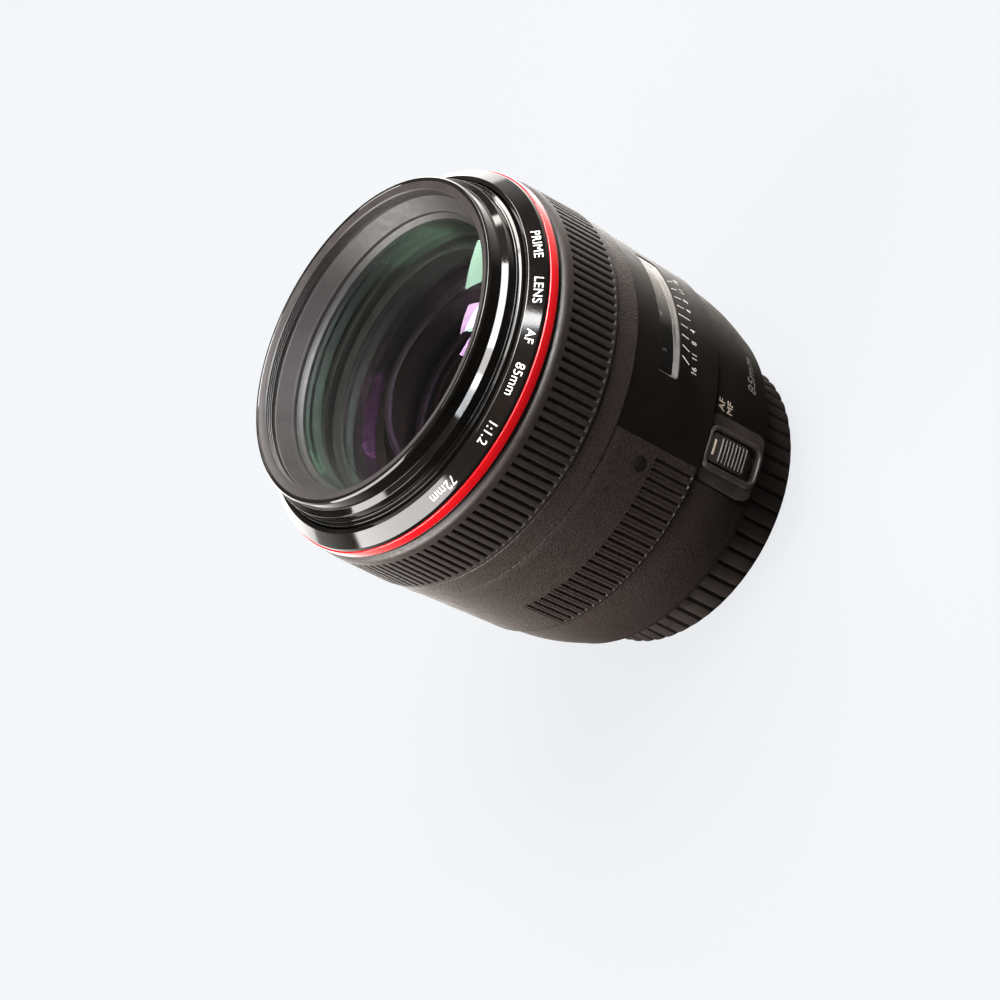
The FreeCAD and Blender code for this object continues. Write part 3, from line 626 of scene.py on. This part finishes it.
def build_window(frame_paint, lip_paint, clear):
    """Bezel flush with the barrel, a pale stepped wall below it, and a curved clear pane."""
    middle = (WINDOW_FOOT + WINDOW_TOP) / 2
    half = (WINDOW_TOP - WINDOW_FOOT) / 2
    scale_r = barrel_r(middle)
    half_u = math.radians(WINDOW_HALF_ANGLE) * scale_r
    outer_u = math.radians(WINDOW_HALF_ANGLE + WINDOW_MARGIN * 1.3) * scale_r
    outer = (outer_u, half + WINDOW_MARGIN, 0.02)
    bezel = wrapped([(*outer, lambda z: barrel_r(z) - 1.5), (*outer, barrel_r),
                     (half_u + 0.12, half + 0.12, 1.1, barrel_r),
                     (half_u, half, 1.0, lambda z: barrel_r(z) - 0.1),
                     (half_u, half, 1.0, lambda z: barrel_r(z) - 1.5)],
                    TOP_ANGLE, middle, hollow=True, scale_r=scale_r)
    piece = make_piece("window_frame", *bezel, frame_paint, "barrel", sharp=35)
    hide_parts("window_bezel")
    inset = 0.04
    lip = wrapped([(half_u - inset, half - inset, 1.0, lambda z: barrel_r(z) - 0.14),
                   (half_u - inset - 0.5, half - inset - 0.5, 0.8, lambda z: barrel_r(z) - 0.62, 0.08),
                   (half_u - inset - 0.8, half - inset - 0.8, 0.7, lambda z: barrel_r(z) - 1.2, 0.1),
                   (half_u - inset, half - inset, 1.0, lambda z: barrel_r(z) - 1.5)],
                  TOP_ANGLE, middle, hollow=True, scale_r=scale_r)
    wall = make_piece("window_lip", *lip, lip_paint, "barrel", sharp=30)
    face = lambda z: barrel_r(z) - 0.12
    back = lambda z: barrel_r(z) - 0.6
    pane = wrapped(list(reversed(inset_cap(half_u - 0.1, half - 0.1, 0.95, back)))
                   + [(half_u - 0.1, half - 0.1, 0.95, back),
                      (half_u - 0.08, half - 0.08, 0.97, lambda z: barrel_r(z) - 0.2),
                      (half_u - 0.16, half - 0.16, 0.9, face)]
                   + inset_cap(half_u - 0.16, half - 0.16, 0.9, face), TOP_ANGLE, middle, scale_r=scale_r)
    glass = make_piece("window_pane", *pane, clear, "barrel", sharp=60)
    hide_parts("distance_window")


def build_band(material):
    foot, top = SEAM_Z + 0.06, 52.5
    outline = rounded([(44.0, foot, 0), (BAND_R, foot, 0.3), (BAND_R, top, 0.3), (44.0, top, 0)], 0.1, 5)
    piece = make_piece("textured_band", *swept(outline, steps=360), material, "barrel", sharp=50)
    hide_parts("rear_band")


def build_name_ring(paint, red):
    outline = rounded([(41.2, 71.0, 0), (41.2, 76.0, 0.12), (42.2, 76.0, 0.35), (44.85, 73.2, 0.35),
                       (45.02, 72.35, 0.08), (44.4, 72.35, 0), (44.4, 70.0, 0), (45.15, 70.0, 0.1),
                       (45.2, 69.5, 0.15), (42.4, 69.5, 0), (42.4, 71.0, 0)], 0.1, 6)
    piece = make_piece("name_ring_cone", *swept(outline, steps=420), paint, "barrel", sharp=45)
    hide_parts("name_ring")
    band = rounded([(44.4, 70.02, 0), (45.3, 70.02, 0.25), (45.35, 71.1, 1.5), (45.3, 72.28, 0.25),
                    (44.4, 72.28, 0)], 0.1, 5)
    ring = make_piece("red_band", *swept(band, steps=420), red, "barrel", sharp=50)
    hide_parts("red_ring")


# ---------------------------------------------------------------- focus ring
def rubber_shift(angle, r, z):
    """Flat ridges and narrow round-ended slots along the focus rubber."""
    if r < RUBBER_R - 0.6 or z > RIBS_TOP or z < RIBS_FOOT:
        return r
    phase = (angle * RIBS / 360.0) % 1.0
    across = abs(phase - 0.5)
    end = min(z - RIBS_FOOT, RIBS_TOP - z)
    round_off = 0.0 if end > 0.45 else 0.2 * (1 - math.sqrt(max(0.0, 1 - (1 - end / 0.45) ** 2)))
    slot = min(1.0, max(0.0, (0.215 - round_off - across) / 0.09))
    crown = 0.06 * max(0.0, 1 - (across - 0.2) / 0.12)
    shallow = min(1.0, end / 0.12)
    return r - shallow * (0.72 * slot * slot * (3 - 2 * slot) + crown)


def build_rubber(material):
    low_edge = rounded([(44.0, RUBBER_FOOT, 0), (RUBBER_R - 0.05, RUBBER_FOOT, 0.3),
                        (RUBBER_R, RIBS_FOOT, 0)], 0, 4)
    ribs = [RIBS_FOOT + d for d in (0.0, 0.06, 0.12, 0.2, 0.3, 0.45)]
    ribs += [RIBS_FOOT + 0.45 + (RIBS_TOP - RIBS_FOOT - 0.9) * k / 6 for k in range(1, 6)]
    ribs += [RIBS_TOP - d for d in (0.45, 0.3, 0.2, 0.12, 0.06, 0.0)]
    shoulder = rounded([(RUBBER_R, 66.3, 0), (RUBBER_R, 68.1, 1.6), (RUBBER_R - 1.3, RUBBER_TOP, 0.2),
                        (44.0, RUBBER_TOP, 0)], 0, 6)
    outline = low_edge[:-1] + [(RUBBER_R, z) for z in ribs] + shoulder
    sleeve = swept(outline, steps=RIBS * 20, shift=rubber_shift)
    piece = make_piece("focus_grip", *sleeve, material, "focus_ring", sharp=42)
    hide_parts("focus_rubber")


# ---------------------------------------------------------------- front of the lens
def thread_wall(top, foot, crest, pitch=0.5, depth=0.16):
    """Points of fine, shallow grooves down the inside of the rim, from the top down."""
    points = []
    turns = int((top - foot) / pitch)
    for i in range(turns):
        z = top - i * pitch
        points += [(crest, z), (crest, z - 0.16), (crest + depth, z - 0.3), (crest + depth, z - 0.4)]
    return points


def build_filter_ring(paint, thread_paint):
    outer = rounded([(37.75, RIM_Z, 0.1), (38.3, RIM_Z, 0.25), (38.62, 83.5, 0.3), (38.62, 80.55, 0.12),
                     (39.95, 79.65, 0.15), (39.95, 77.95, 0.12), (39.6, 77.8, 0.05), (39.6, 77.6, 0.05),
                     (40.15, 77.45, 0.1),
                     (40.15, 77.2, 0.05), (39.95, 77.1, 0.03), (39.95, 76.95, 0.03), (40.8, 76.7, 0.15),
                     (40.8, 71.3, 0.1), (38.45, 71.3, 0), (38.45, 75.4, 0), (37.6, 75.4, 0), (37.6, 76.5, 0),
                     (36.62, 76.5, 0), (36.62, 83.0, 0)], 0.1, 5)
    piece = make_piece("front_rim", *swept(outer, steps=420), paint, "front_group", sharp=30)
    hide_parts("filter_ring")
    turns = list(reversed(thread_wall(83.25, 80.8, 35.65)))
    lip = [(35.9, 83.5), (36.5, 83.62), (37.5, 83.93), (37.4, 83.6), (36.6, 83.2)]
    wall = swept([(36.6, 80.75), (35.62, 80.75)] + turns + lip, steps=420)
    thread = make_piece("filter_thread_turns", *wall, thread_paint, "front_group", sharp=25)


def build_front_inner(grey, black):
    cone = rounded([(33.2, 76.5, 0), (36.55, 76.5, 0), (36.55, 80.6, 0), (35.5, 80.75, 0.15),
                    (35.3, 80.5, 0.15), (33.5, 77.7, 0.2), (33.2, 77.3, 0.1)], 0.05, 4)
    piece = make_piece("front_cone", *swept(cone, steps=320), grey, "front_group", sharp=40)
    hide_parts("front_baffle")
    ring = rounded([(32.2, 74.6, 0.05), (37.6, 75.4, 0), (37.6, 76.5, 0), (33.3, 76.5, 0.1), (32.9, 76.0, 0.1),
                    (32.3, 75.4, 0.15)], 0.05, 4)
    retainer = make_piece("front_retainer", *swept(ring, steps=320), black, "front_group", sharp=40)
    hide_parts("retaining_ring")


def sphere_line(edge_r, z, radius, steps=24):
    """Points from the axis out to the edge of a spherical face."""
    line = []
    for k in range(steps + 1):
        r = edge_r * k / steps
        line.append((r, z - (radius - math.copysign(math.sqrt(radius * radius - r * r), radius))))
    return line


ELEMENTS = (
    ("front_element", 33.55, 80.7, 95.0, 72.0, 250.0, "front_group"),
    ("element_2", 28.45, 70.6, 48.0, 62.0, 95.0, "front_group"),
    ("element_3", 25.45, 61.0, 40.0, 55.0, 70.0, "front_group"),
    ("element_4", 21.95, 53.6, 75.0, 50.6, 27.0, "front_group"),
)


def build_glass(materials):
    for (node, edge_r, front_z, front_radius, rear_z, rear_radius, body), material in zip(ELEMENTS,
                                                                                          materials):
        front = sphere_line(edge_r, front_z, front_radius)
        rear = sphere_line(edge_r, rear_z, rear_radius)
        outline = front + list(reversed(rear))
        piece = make_piece(node.replace("element", "glass"), *disc(outline, 192), material, body, sharp=30)
        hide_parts(node)


# ---------------------------------------------------------------- scales and marks
def wrap_mesh(mesh, angle, z, radius_at, proud, turn=0.0, squash=1.0):
    """Bends a flat text mesh, drawn in millimetres, round the barrel; turn spins it in its own plane."""
    cos_t, sin_t = math.cos(turn), math.sin(turn)
    for vertex in mesh.vertices:
        x, y, lift = vertex.co
        u, v = x * cos_t - y * sin_t, x * sin_t + y * cos_t
        height = z + v * squash
        radius = radius_at(height)
        vertex.co = place(radius + (proud if lift > 0 else -0.05), angle + math.degrees(u / radius), height)


def text_piece(name, text, size, angle, z, radius_at, material, body, proud=0.03, turn=0.0, squash=1.0,
               spacing=1.0):
    curve = bpy.data.curves.new(name + ".text", "FONT")
    curve.body = text
    curve.size = size
    curve.align_x = "CENTER"
    curve.align_y = "CENTER"
    curve.space_character = spacing
    curve.extrude = 0.02
    curve.resolution_u = 5
    source = bpy.data.objects.new(name + ".source", curve)
    bpy.context.scene.collection.objects.link(source)
    bpy.context.view_layer.update()
    mesh = bpy.data.meshes.new_from_object(source)
    bpy.data.objects.remove(source)
    mesh.name = name
    wrap_mesh(mesh, angle, z, radius_at, proud, turn, squash)
    mesh.materials.clear()
    mesh.materials.append(material)
    piece = bpy.data.objects.new(name, mesh)
    bpy.context.scene.collection.objects.link(piece)
    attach(piece, body)


def stroke(angle0, z0, angle1, z1, width, radius_at, proud=0.03):
    """A thin painted line between two places on the barrel."""
    r = radius_at((z0 + z1) / 2)
    u0, u1 = math.radians(angle0) * r, math.radians(angle1) * r
    along = Vector((u1 - u0, z1 - z0))
    across = Vector((-along.y, along.x)).normalized() * width / 2
    points, faces = [], []
    cuts = 6
    for k in range(cuts + 1):
        t = k / cuts
        u, z = u0 + along.x * t, z0 + along.y * t
        for side, lift in ((1, proud), (-1, proud), (-1, -0.05), (1, -0.05)):
            zz = z + across.y * side
            points.append(place(radius_at(zz) + lift, math.degrees((u + across.x * side) / r), zz))
    for k in range(cuts):
        a, b = 4 * k, 4 * (k + 1)
        for i in range(4):
            n = (i + 1) % 4
            faces.append((a + i, b + i, b + n, a + n))
    faces += [(3, 2, 1, 0), tuple(4 * cuts + i for i in range(4))]
    return points, faces


def build_marks(white, warm, grey):
    """Depth-of-field marks behind the window, focal length, and the switch's two labels."""
    lines = [stroke(TOP_ANGLE, 33.0, TOP_ANGLE, 29.3, 0.26, barrel_r)]
    stops = (("4", 3.6, 3.9), ("8", 7.3, 8.2), ("11", 11.0, 12.9), ("16", 14.6, 17.6))
    for text, near, far in stops:
        for side in (-1, 1):
            start, end = TOP_ANGLE + side * near, TOP_ANGLE + side * (near + (far - near) * 0.6)
            lines.append(stroke(start, 32.7, end, 30.6, 0.24, barrel_r))
            name = "stop_%s_%s" % (text, "left" if side < 0 else "right")
            text_piece(name, text, 2.1, TOP_ANGLE + side * far, 28.9, barrel_r, white, "barrel")
    marks = make_piece("stop_lines", *joined(lines), white, "barrel")
    text_piece("focal_length", "85mm", 4.2, TOP_ANGLE - 4.0, 8.4, casing_r, grey, "barrel")
    text_piece("label_af", "AF", 2.6, SWITCH_ANGLE + 13.6, 18.8, casing_r, warm, "barrel")
    text_piece("label_mf", "MF", 2.6, SWITCH_ANGLE + 13.6, 16.2, casing_r, warm, "barrel")


def build_ring_text(white):
    """Plain words and figures round the name ring, read from outside the lens."""
    cone = lambda z: 42.25 + (76.0 - z) * (44.75 - 42.2) / (76.0 - 73.3)
    words = (("PRIME", 52.0), ("LENS", 36.0), ("AF", 21.5), ("85mm", 8.5), ("1:1.2", -8.0), ("72mm", -29.0))
    for word, offset in words:
        name = "ring_" + "".join(c for c in word if c.isalnum())
        text_piece(name, word, 2.9, CAMERA_AZIMUTH + offset, 74.45, cone, white, "barrel",
                   turn=math.pi, spacing=1.05, squash=0.72)


def build_drum(black, white, green):
    outline = rounded([(41.02, 30.0, 0), (DRUM_R, 30.0, 0.1), (DRUM_R, 43.0, 0.1), (41.02, 43.0, 0)], 0.1, 3)
    drum = make_piece("scale_drum", *swept(outline, steps=300), black, "cam", sharp=40)
    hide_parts("distance_scale")
    r = lambda z: DRUM_R
    metres = ("0.95", "1", "1.2", "1.5", "2", "3", "5", "∞")
    feet = ("3.2", "3.5", "4", "5", "7", "10", "15", "∞")
    last = len(metres) - 1
    for i, (near, far) in enumerate(zip(metres, feet)):
        angle = TOP_ANGLE + 2.0 - SCALE_SWEEP * (last - i) / last
        text_piece("metres_%d" % i, near, 2.0, angle, 35.2, r, white, "cam", proud=0.02)
        text_piece("feet_%d" % i, far, 2.0, angle, 38.2, r, green, "cam", proud=0.02)


# ---------------------------------------------------------------- everything
def assign(material, *nodes):
    for name in nodes:
        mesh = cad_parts[name].data
        mesh.materials.clear()
        mesh.materials.append(material)


def build_object():
    gloss, satin = gloss_black(), satin_black()
    texture = crackle("crackle_black", rgb(0.028, 0.0205, 0.0182), rgb(0.052, 0.040, 0.037))
    casing = crackle("casing_black", rgb(0.028, 0.0205, 0.0182), rgb(0.052, 0.040, 0.037), around_top)
    black_metal = anodised("black_anodised", rgb(0.010, 0.009, 0.009), rgb(0.018, 0.016, 0.015))
    grey = anodised("grey_brown_anodised", rgb(0.0145, 0.0110, 0.0112), rgb(0.020, 0.0155, 0.0158), 0.45,
                    0.58, 500.0)
    thread = moulded("thread_anodised", rgb(0.016, 0.0130, 0.0125), rgb(0.023, 0.019, 0.0185), 0.34, 0.42,
                     0.000002)
    cap = moulded("cap_moulded", rgb(0.022, 0.017, 0.015), rgb(0.036, 0.029, 0.026), 0.36, 0.48)
    slider = moulded("slider_moulded", rgb(0.030, 0.024, 0.022), rgb(0.048, 0.039, 0.036), 0.34, 0.44)
    dial = moulded("dial_black", rgb(0.006, 0.006, 0.006), rgb(0.011, 0.010, 0.010), 0.5, 0.65)
    white = paint_mark("white_mark", rgb(0.82, 0.82, 0.8))
    warm = paint_mark("warm_mark", rgb(0.72, 0.6, 0.46))
    green = paint_mark("green_mark", rgb(0.35, 0.62, 0.35))
    pale = moulded("pale_lip", rgb(0.17, 0.155, 0.145), rgb(0.26, 0.24, 0.225), 0.16, 0.24, 0.000004)
    # Near-black paint for the screws' rings and crosses: painted shade of their recesses.
    dark = moulded("painted_recess_shade", rgb(0.002, 0.002, 0.002), rgb(0.004, 0.003, 0.003), 0.6, 0.7)
    screw = metal("screw_steel", rgb(0.16, 0.148, 0.14), rgb(0.24, 0.22, 0.21), 0.3, 0.42)
    chrome = metal("bayonet_metal", rgb(0.62, 0.62, 0.63), rgb(0.76, 0.76, 0.77), 0.16, 0.26, 900.0)
    steel = metal("plain_steel", rgb(0.34, 0.34, 0.35), rgb(0.5, 0.5, 0.51), 0.25, 0.38, 500.0)
    brass = metal("gold_brass", rgb(0.62, 0.43, 0.18), rgb(0.8, 0.58, 0.28), 0.2, 0.32)
    blade = metal("blade_coating", rgb(0.02, 0.02, 0.021), rgb(0.035, 0.035, 0.037), 0.4, 0.52)
    board = moulded("solder_mask", rgb(0.006, 0.05, 0.02), rgb(0.012, 0.085, 0.035), 0.3, 0.45)

    build_rear_cap(cap)
    build_casing(casing)
    build_switch_panel(slider)
    build_slider(slider, warm)
    build_barrel(satin)
    build_grip(texture)
    # dark here is the painted recess shade for the screws' rings and crosses.
    build_screws(screw, dark)
    build_edges(satin)
    build_window(satin, pale, coated_glass("clear_pane", rgb(0.95, 0.95, 0.95), rgb(0.9, 0.9, 0.9),
                                           rgb(1.0, 1.0, 1.0), (0.05, 0.6)))
    build_band(texture)
    build_name_ring(name_black(), red_enamel())
    build_rubber(rubber())
    build_filter_ring(gloss, thread)
    build_front_inner(grey, black_metal)
    green_coat = coated_glass("glass_green_coat", rgb(0.96, 0.97, 0.95), rgb(0.30, 0.62, 0.46),
                              rgb(0.62, 0.86, 0.72), (0.03, 0.35))
    violet_coat = coated_glass("glass_violet_coat", rgb(0.93, 0.88, 0.86), rgb(0.52, 0.22, 0.66),
                               rgb(0.82, 0.66, 0.92), (0.06, 0.6))
    amber_coat = coated_glass("glass_amber_coat", rgb(0.90, 0.80, 0.70), rgb(0.86, 0.46, 0.18),
                              rgb(1.0, 0.80, 0.52), (0.06, 0.5))
    blue_coat = coated_glass("glass_blue_coat", rgb(0.86, 0.74, 0.66), rgb(0.22, 0.30, 0.70),
                             rgb(0.66, 0.62, 0.50), (0.06, 0.5))
    build_glass((green_coat, violet_coat, amber_coat, blue_coat))
    build_marks(white, warm, paint_mark("grey_mark", rgb(0.36, 0.35, 0.34)))
    build_ring_text(white)
    build_drum(dial, white, green)

    assign(chrome, "mount_ring")
    assign(steel, "mount_screws", "spring_washer", "thrust_balls", "iris_motor", "usm_stator", "usm_rotor")
    assign(brass, "contact_pins", "cam_followers", "ball_cage", "iris_pinion")
    assign(cap, "contact_block", "rear_baffle", "switch_contact", "focus_encoder")
    assign(black_metal, "rear_lens_ring", "focus_carrier", "focus_sleeve", "guide_sleeve", "cam_sleeve",
           "front_cell", "inner_cell", "rear_cell", "iris_base", "iris_cover", "iris_ring")
    assign(blade, *["iris_blade_%d" % (i + 1) for i in range(8)])
    assign(board, "circuit_board")
    inner_glass = coated_glass("glass_inner", rgb(0.92, 0.86, 0.80), rgb(0.6, 0.32, 0.62),
                               rgb(0.8, 0.8, 0.9), (0.08, 0.5))
    assign(inner_glass, "element_5", "element_6", "element_7", "element_8")


# ---------------------------------------------------------------- studio
def seen_or_lit(tree, seen, lit, output):
    """Shows one shader to the camera and another to the light that reaches the lens."""
    path = tree.nodes.new("ShaderNodeLightPath")
    mix = tree.nodes.new("ShaderNodeMixShader")
    tree.links.new(path.outputs["Is Camera Ray"], mix.inputs[0])
    tree.links.new(lit.outputs[0], mix.inputs[1])
    tree.links.new(seen.outputs[0], mix.inputs[2])
    tree.links.new(mix.outputs[0], output.inputs["Surface"])


def build_floor():
    """Pale glowing paper to the camera; to other rays, a light that is bright on one side of the lens."""
    shade = Shade("paper_floor").set(Specular_IOR_Level=0.0, Roughness=0.9, Emission_Strength=FLOOR_GLOW)
    shade.surface.inputs["Emission Color"].default_value = rgb(0.955, 0.975, 1.0)
    greys = [(0.3, rgb(0.026, 0.027, 0.028)), (0.7, rgb(0.028, 0.029, 0.030))]
    shade.colour(shade.ramp(shade.noise(3.0, 2.0), greys))
    split = shade.add("ShaderNodeSeparateXYZ")
    shade.link(shade.where, split.inputs[0])
    x, y, far = split.outputs["X"], split.outputs["Y"], math.radians(FAR_SIDE)
    maths = shade.maths
    away = maths("SQRT", maths("ADD", maths("MULTIPLY", x, x), maths("MULTIPLY", y, y)))
    behind = maths("ADD", maths("MULTIPLY", x, math.cos(far)), maths("MULTIPLY", y, math.sin(far)))
    side = maths("DIVIDE", behind, maths("ADD", away, 0.03))
    dim = shade.add("ShaderNodeEmission", Strength=4.5)
    shade.link(shade.ramp(shade.span(side, 0.0, 1.0, -0.75, 1.0),
                          [(0.0, rgb(0.003, 0.0025, 0.002)), (0.35, rgb(0.012, 0.011, 0.010)),
                           (0.60, rgb(0.24, 0.22, 0.20)), (0.85, rgb(0.95, 0.93, 0.90))]), dim.inputs["Color"])
    seen_or_lit(shade.tree, shade.surface, dim, shade.tree.nodes["Material Output"])
    bpy.ops.mesh.primitive_circle_add(vertices=96, radius=4.0, fill_type="NGON", location=(0, 0, 0))
    floor = bpy.context.object
    floor.name = "floor"
    floor.data.materials.append(shade.material)


def build_world():
    """A pale room to the camera; a dark one with a bright horizon in the reflections."""
    world = bpy.data.worlds.new("studio")
    bpy.context.scene.world = world
    world.use_nodes = True
    tree = world.node_tree
    lit = tree.nodes["Background"]
    where = tree.nodes.new("ShaderNodeTexCoord")
    split = tree.nodes.new("ShaderNodeSeparateXYZ")
    tree.links.new(where.outputs["Generated"], split.inputs[0])
    glow = tree.nodes.new("ShaderNodeValToRGB")
    for element, (position, level) in zip(glow.color_ramp.elements, ((0.06, 0.85), (0.26, 0.045))):
        element.position = position
        element.color = (level, level * 0.98, level * 0.95, 1)
    tree.links.new(split.outputs["Z"], glow.inputs["Fac"])
    tree.links.new(glow.outputs["Color"], lit.inputs["Color"])
    seen = tree.nodes.new("ShaderNodeBackground")
    seen.inputs["Color"].default_value = (0.885, 0.905, 0.93, 1)
    seen_or_lit(tree, seen, lit, tree.nodes["World Output"])


def softbox(name, azimuth, elevation, distance, width, height, power, colour=(1, 1, 1)):
    """An area light that looks at the lens from a direction."""
    aim = Vector((0, 0, 0.055))
    a, e = math.radians(azimuth), math.radians(elevation)
    spot = aim + distance * Vector((math.cos(e) * math.cos(a), math.cos(e) * math.sin(a), math.sin(e)))
    lamp = bpy.data.lights.new(name, "AREA")
    lamp.shape = "RECTANGLE"
    lamp.size, lamp.size_y = width, height
    lamp.energy = power
    lamp.color = colour
    holder = bpy.data.objects.new(name, lamp)
    bpy.context.scene.collection.objects.link(holder)
    holder.location = spot
    holder.rotation_euler = (aim - spot).to_track_quat("-Z", "Y").to_euler()


def build_studio():
    build_floor()
    build_world()
    softbox("key_box", -48.0, 62.0, 0.9, 0.95, 0.42, 30.0)
    softbox("left_box", 128.0, 28.0, 0.9, 0.95, 0.7, 26.0, (1.0, 0.97, 0.94))
    softbox("overhead_box", -150.0, 84.0, 1.1, 0.3, 0.3, 5.0, (0.93, 0.96, 1.0))
    softbox("back_box", -6.0, 40.0, 1.1, 0.45, 0.35, 8.0, (1.0, 0.96, 0.9))
    softbox("bridge_box", -100.0, 74.0, 1.0, 0.3, 0.3, 4.0, (1.0, 0.98, 0.96))


def build_camera():
    """A long lens that looks down on the front from one side, rolled so that the object leans."""
    off_axis, distance = math.radians(56.26), 1104.0
    yaw, pitch, roll = math.radians(0.03), math.radians(1.06), math.radians(-62.7)
    focal_length, sensor, aim_z = 179.712, 36.0, 45.0
    spot = Vector((distance * math.sin(off_axis), 0, aim_z + distance * math.cos(off_axis)))
    forward = -Vector((math.sin(off_axis), 0, math.cos(off_axis)))
    up = (Vector((0, 0, 1)) - forward * forward.z).normalized()
    view = Matrix((forward.cross(up), -up, forward))
    turn = (Matrix.Rotation(pitch, 3, "X") @ Matrix.Rotation(yaw, 3, "Y") @ Matrix.Rotation(roll, 3, "Z"))
    view = turn @ view
    axes = Matrix((view[0], -Vector(view[1]), -Vector(view[2]))).transposed()
    around = Matrix.Rotation(math.radians(CAMERA_AZIMUTH), 3, "Z")
    lens = bpy.data.cameras.new("photo_camera")
    lens.sensor_width = sensor
    lens.lens = focal_length
    camera = bpy.data.objects.new("photo_camera", lens)
    bpy.context.scene.collection.objects.link(camera)
    place_at = around @ spot * MM + Vector((0, 0, CAP_HEIGHT * MM))
    camera.matrix_world = Matrix.Translation(place_at) @ (around @ axes).to_4x4()
    bpy.context.scene.camera = camera


build_object()
build_studio()
build_camera()
bpy.context.scene.view_settings.view_transform = "Standard"
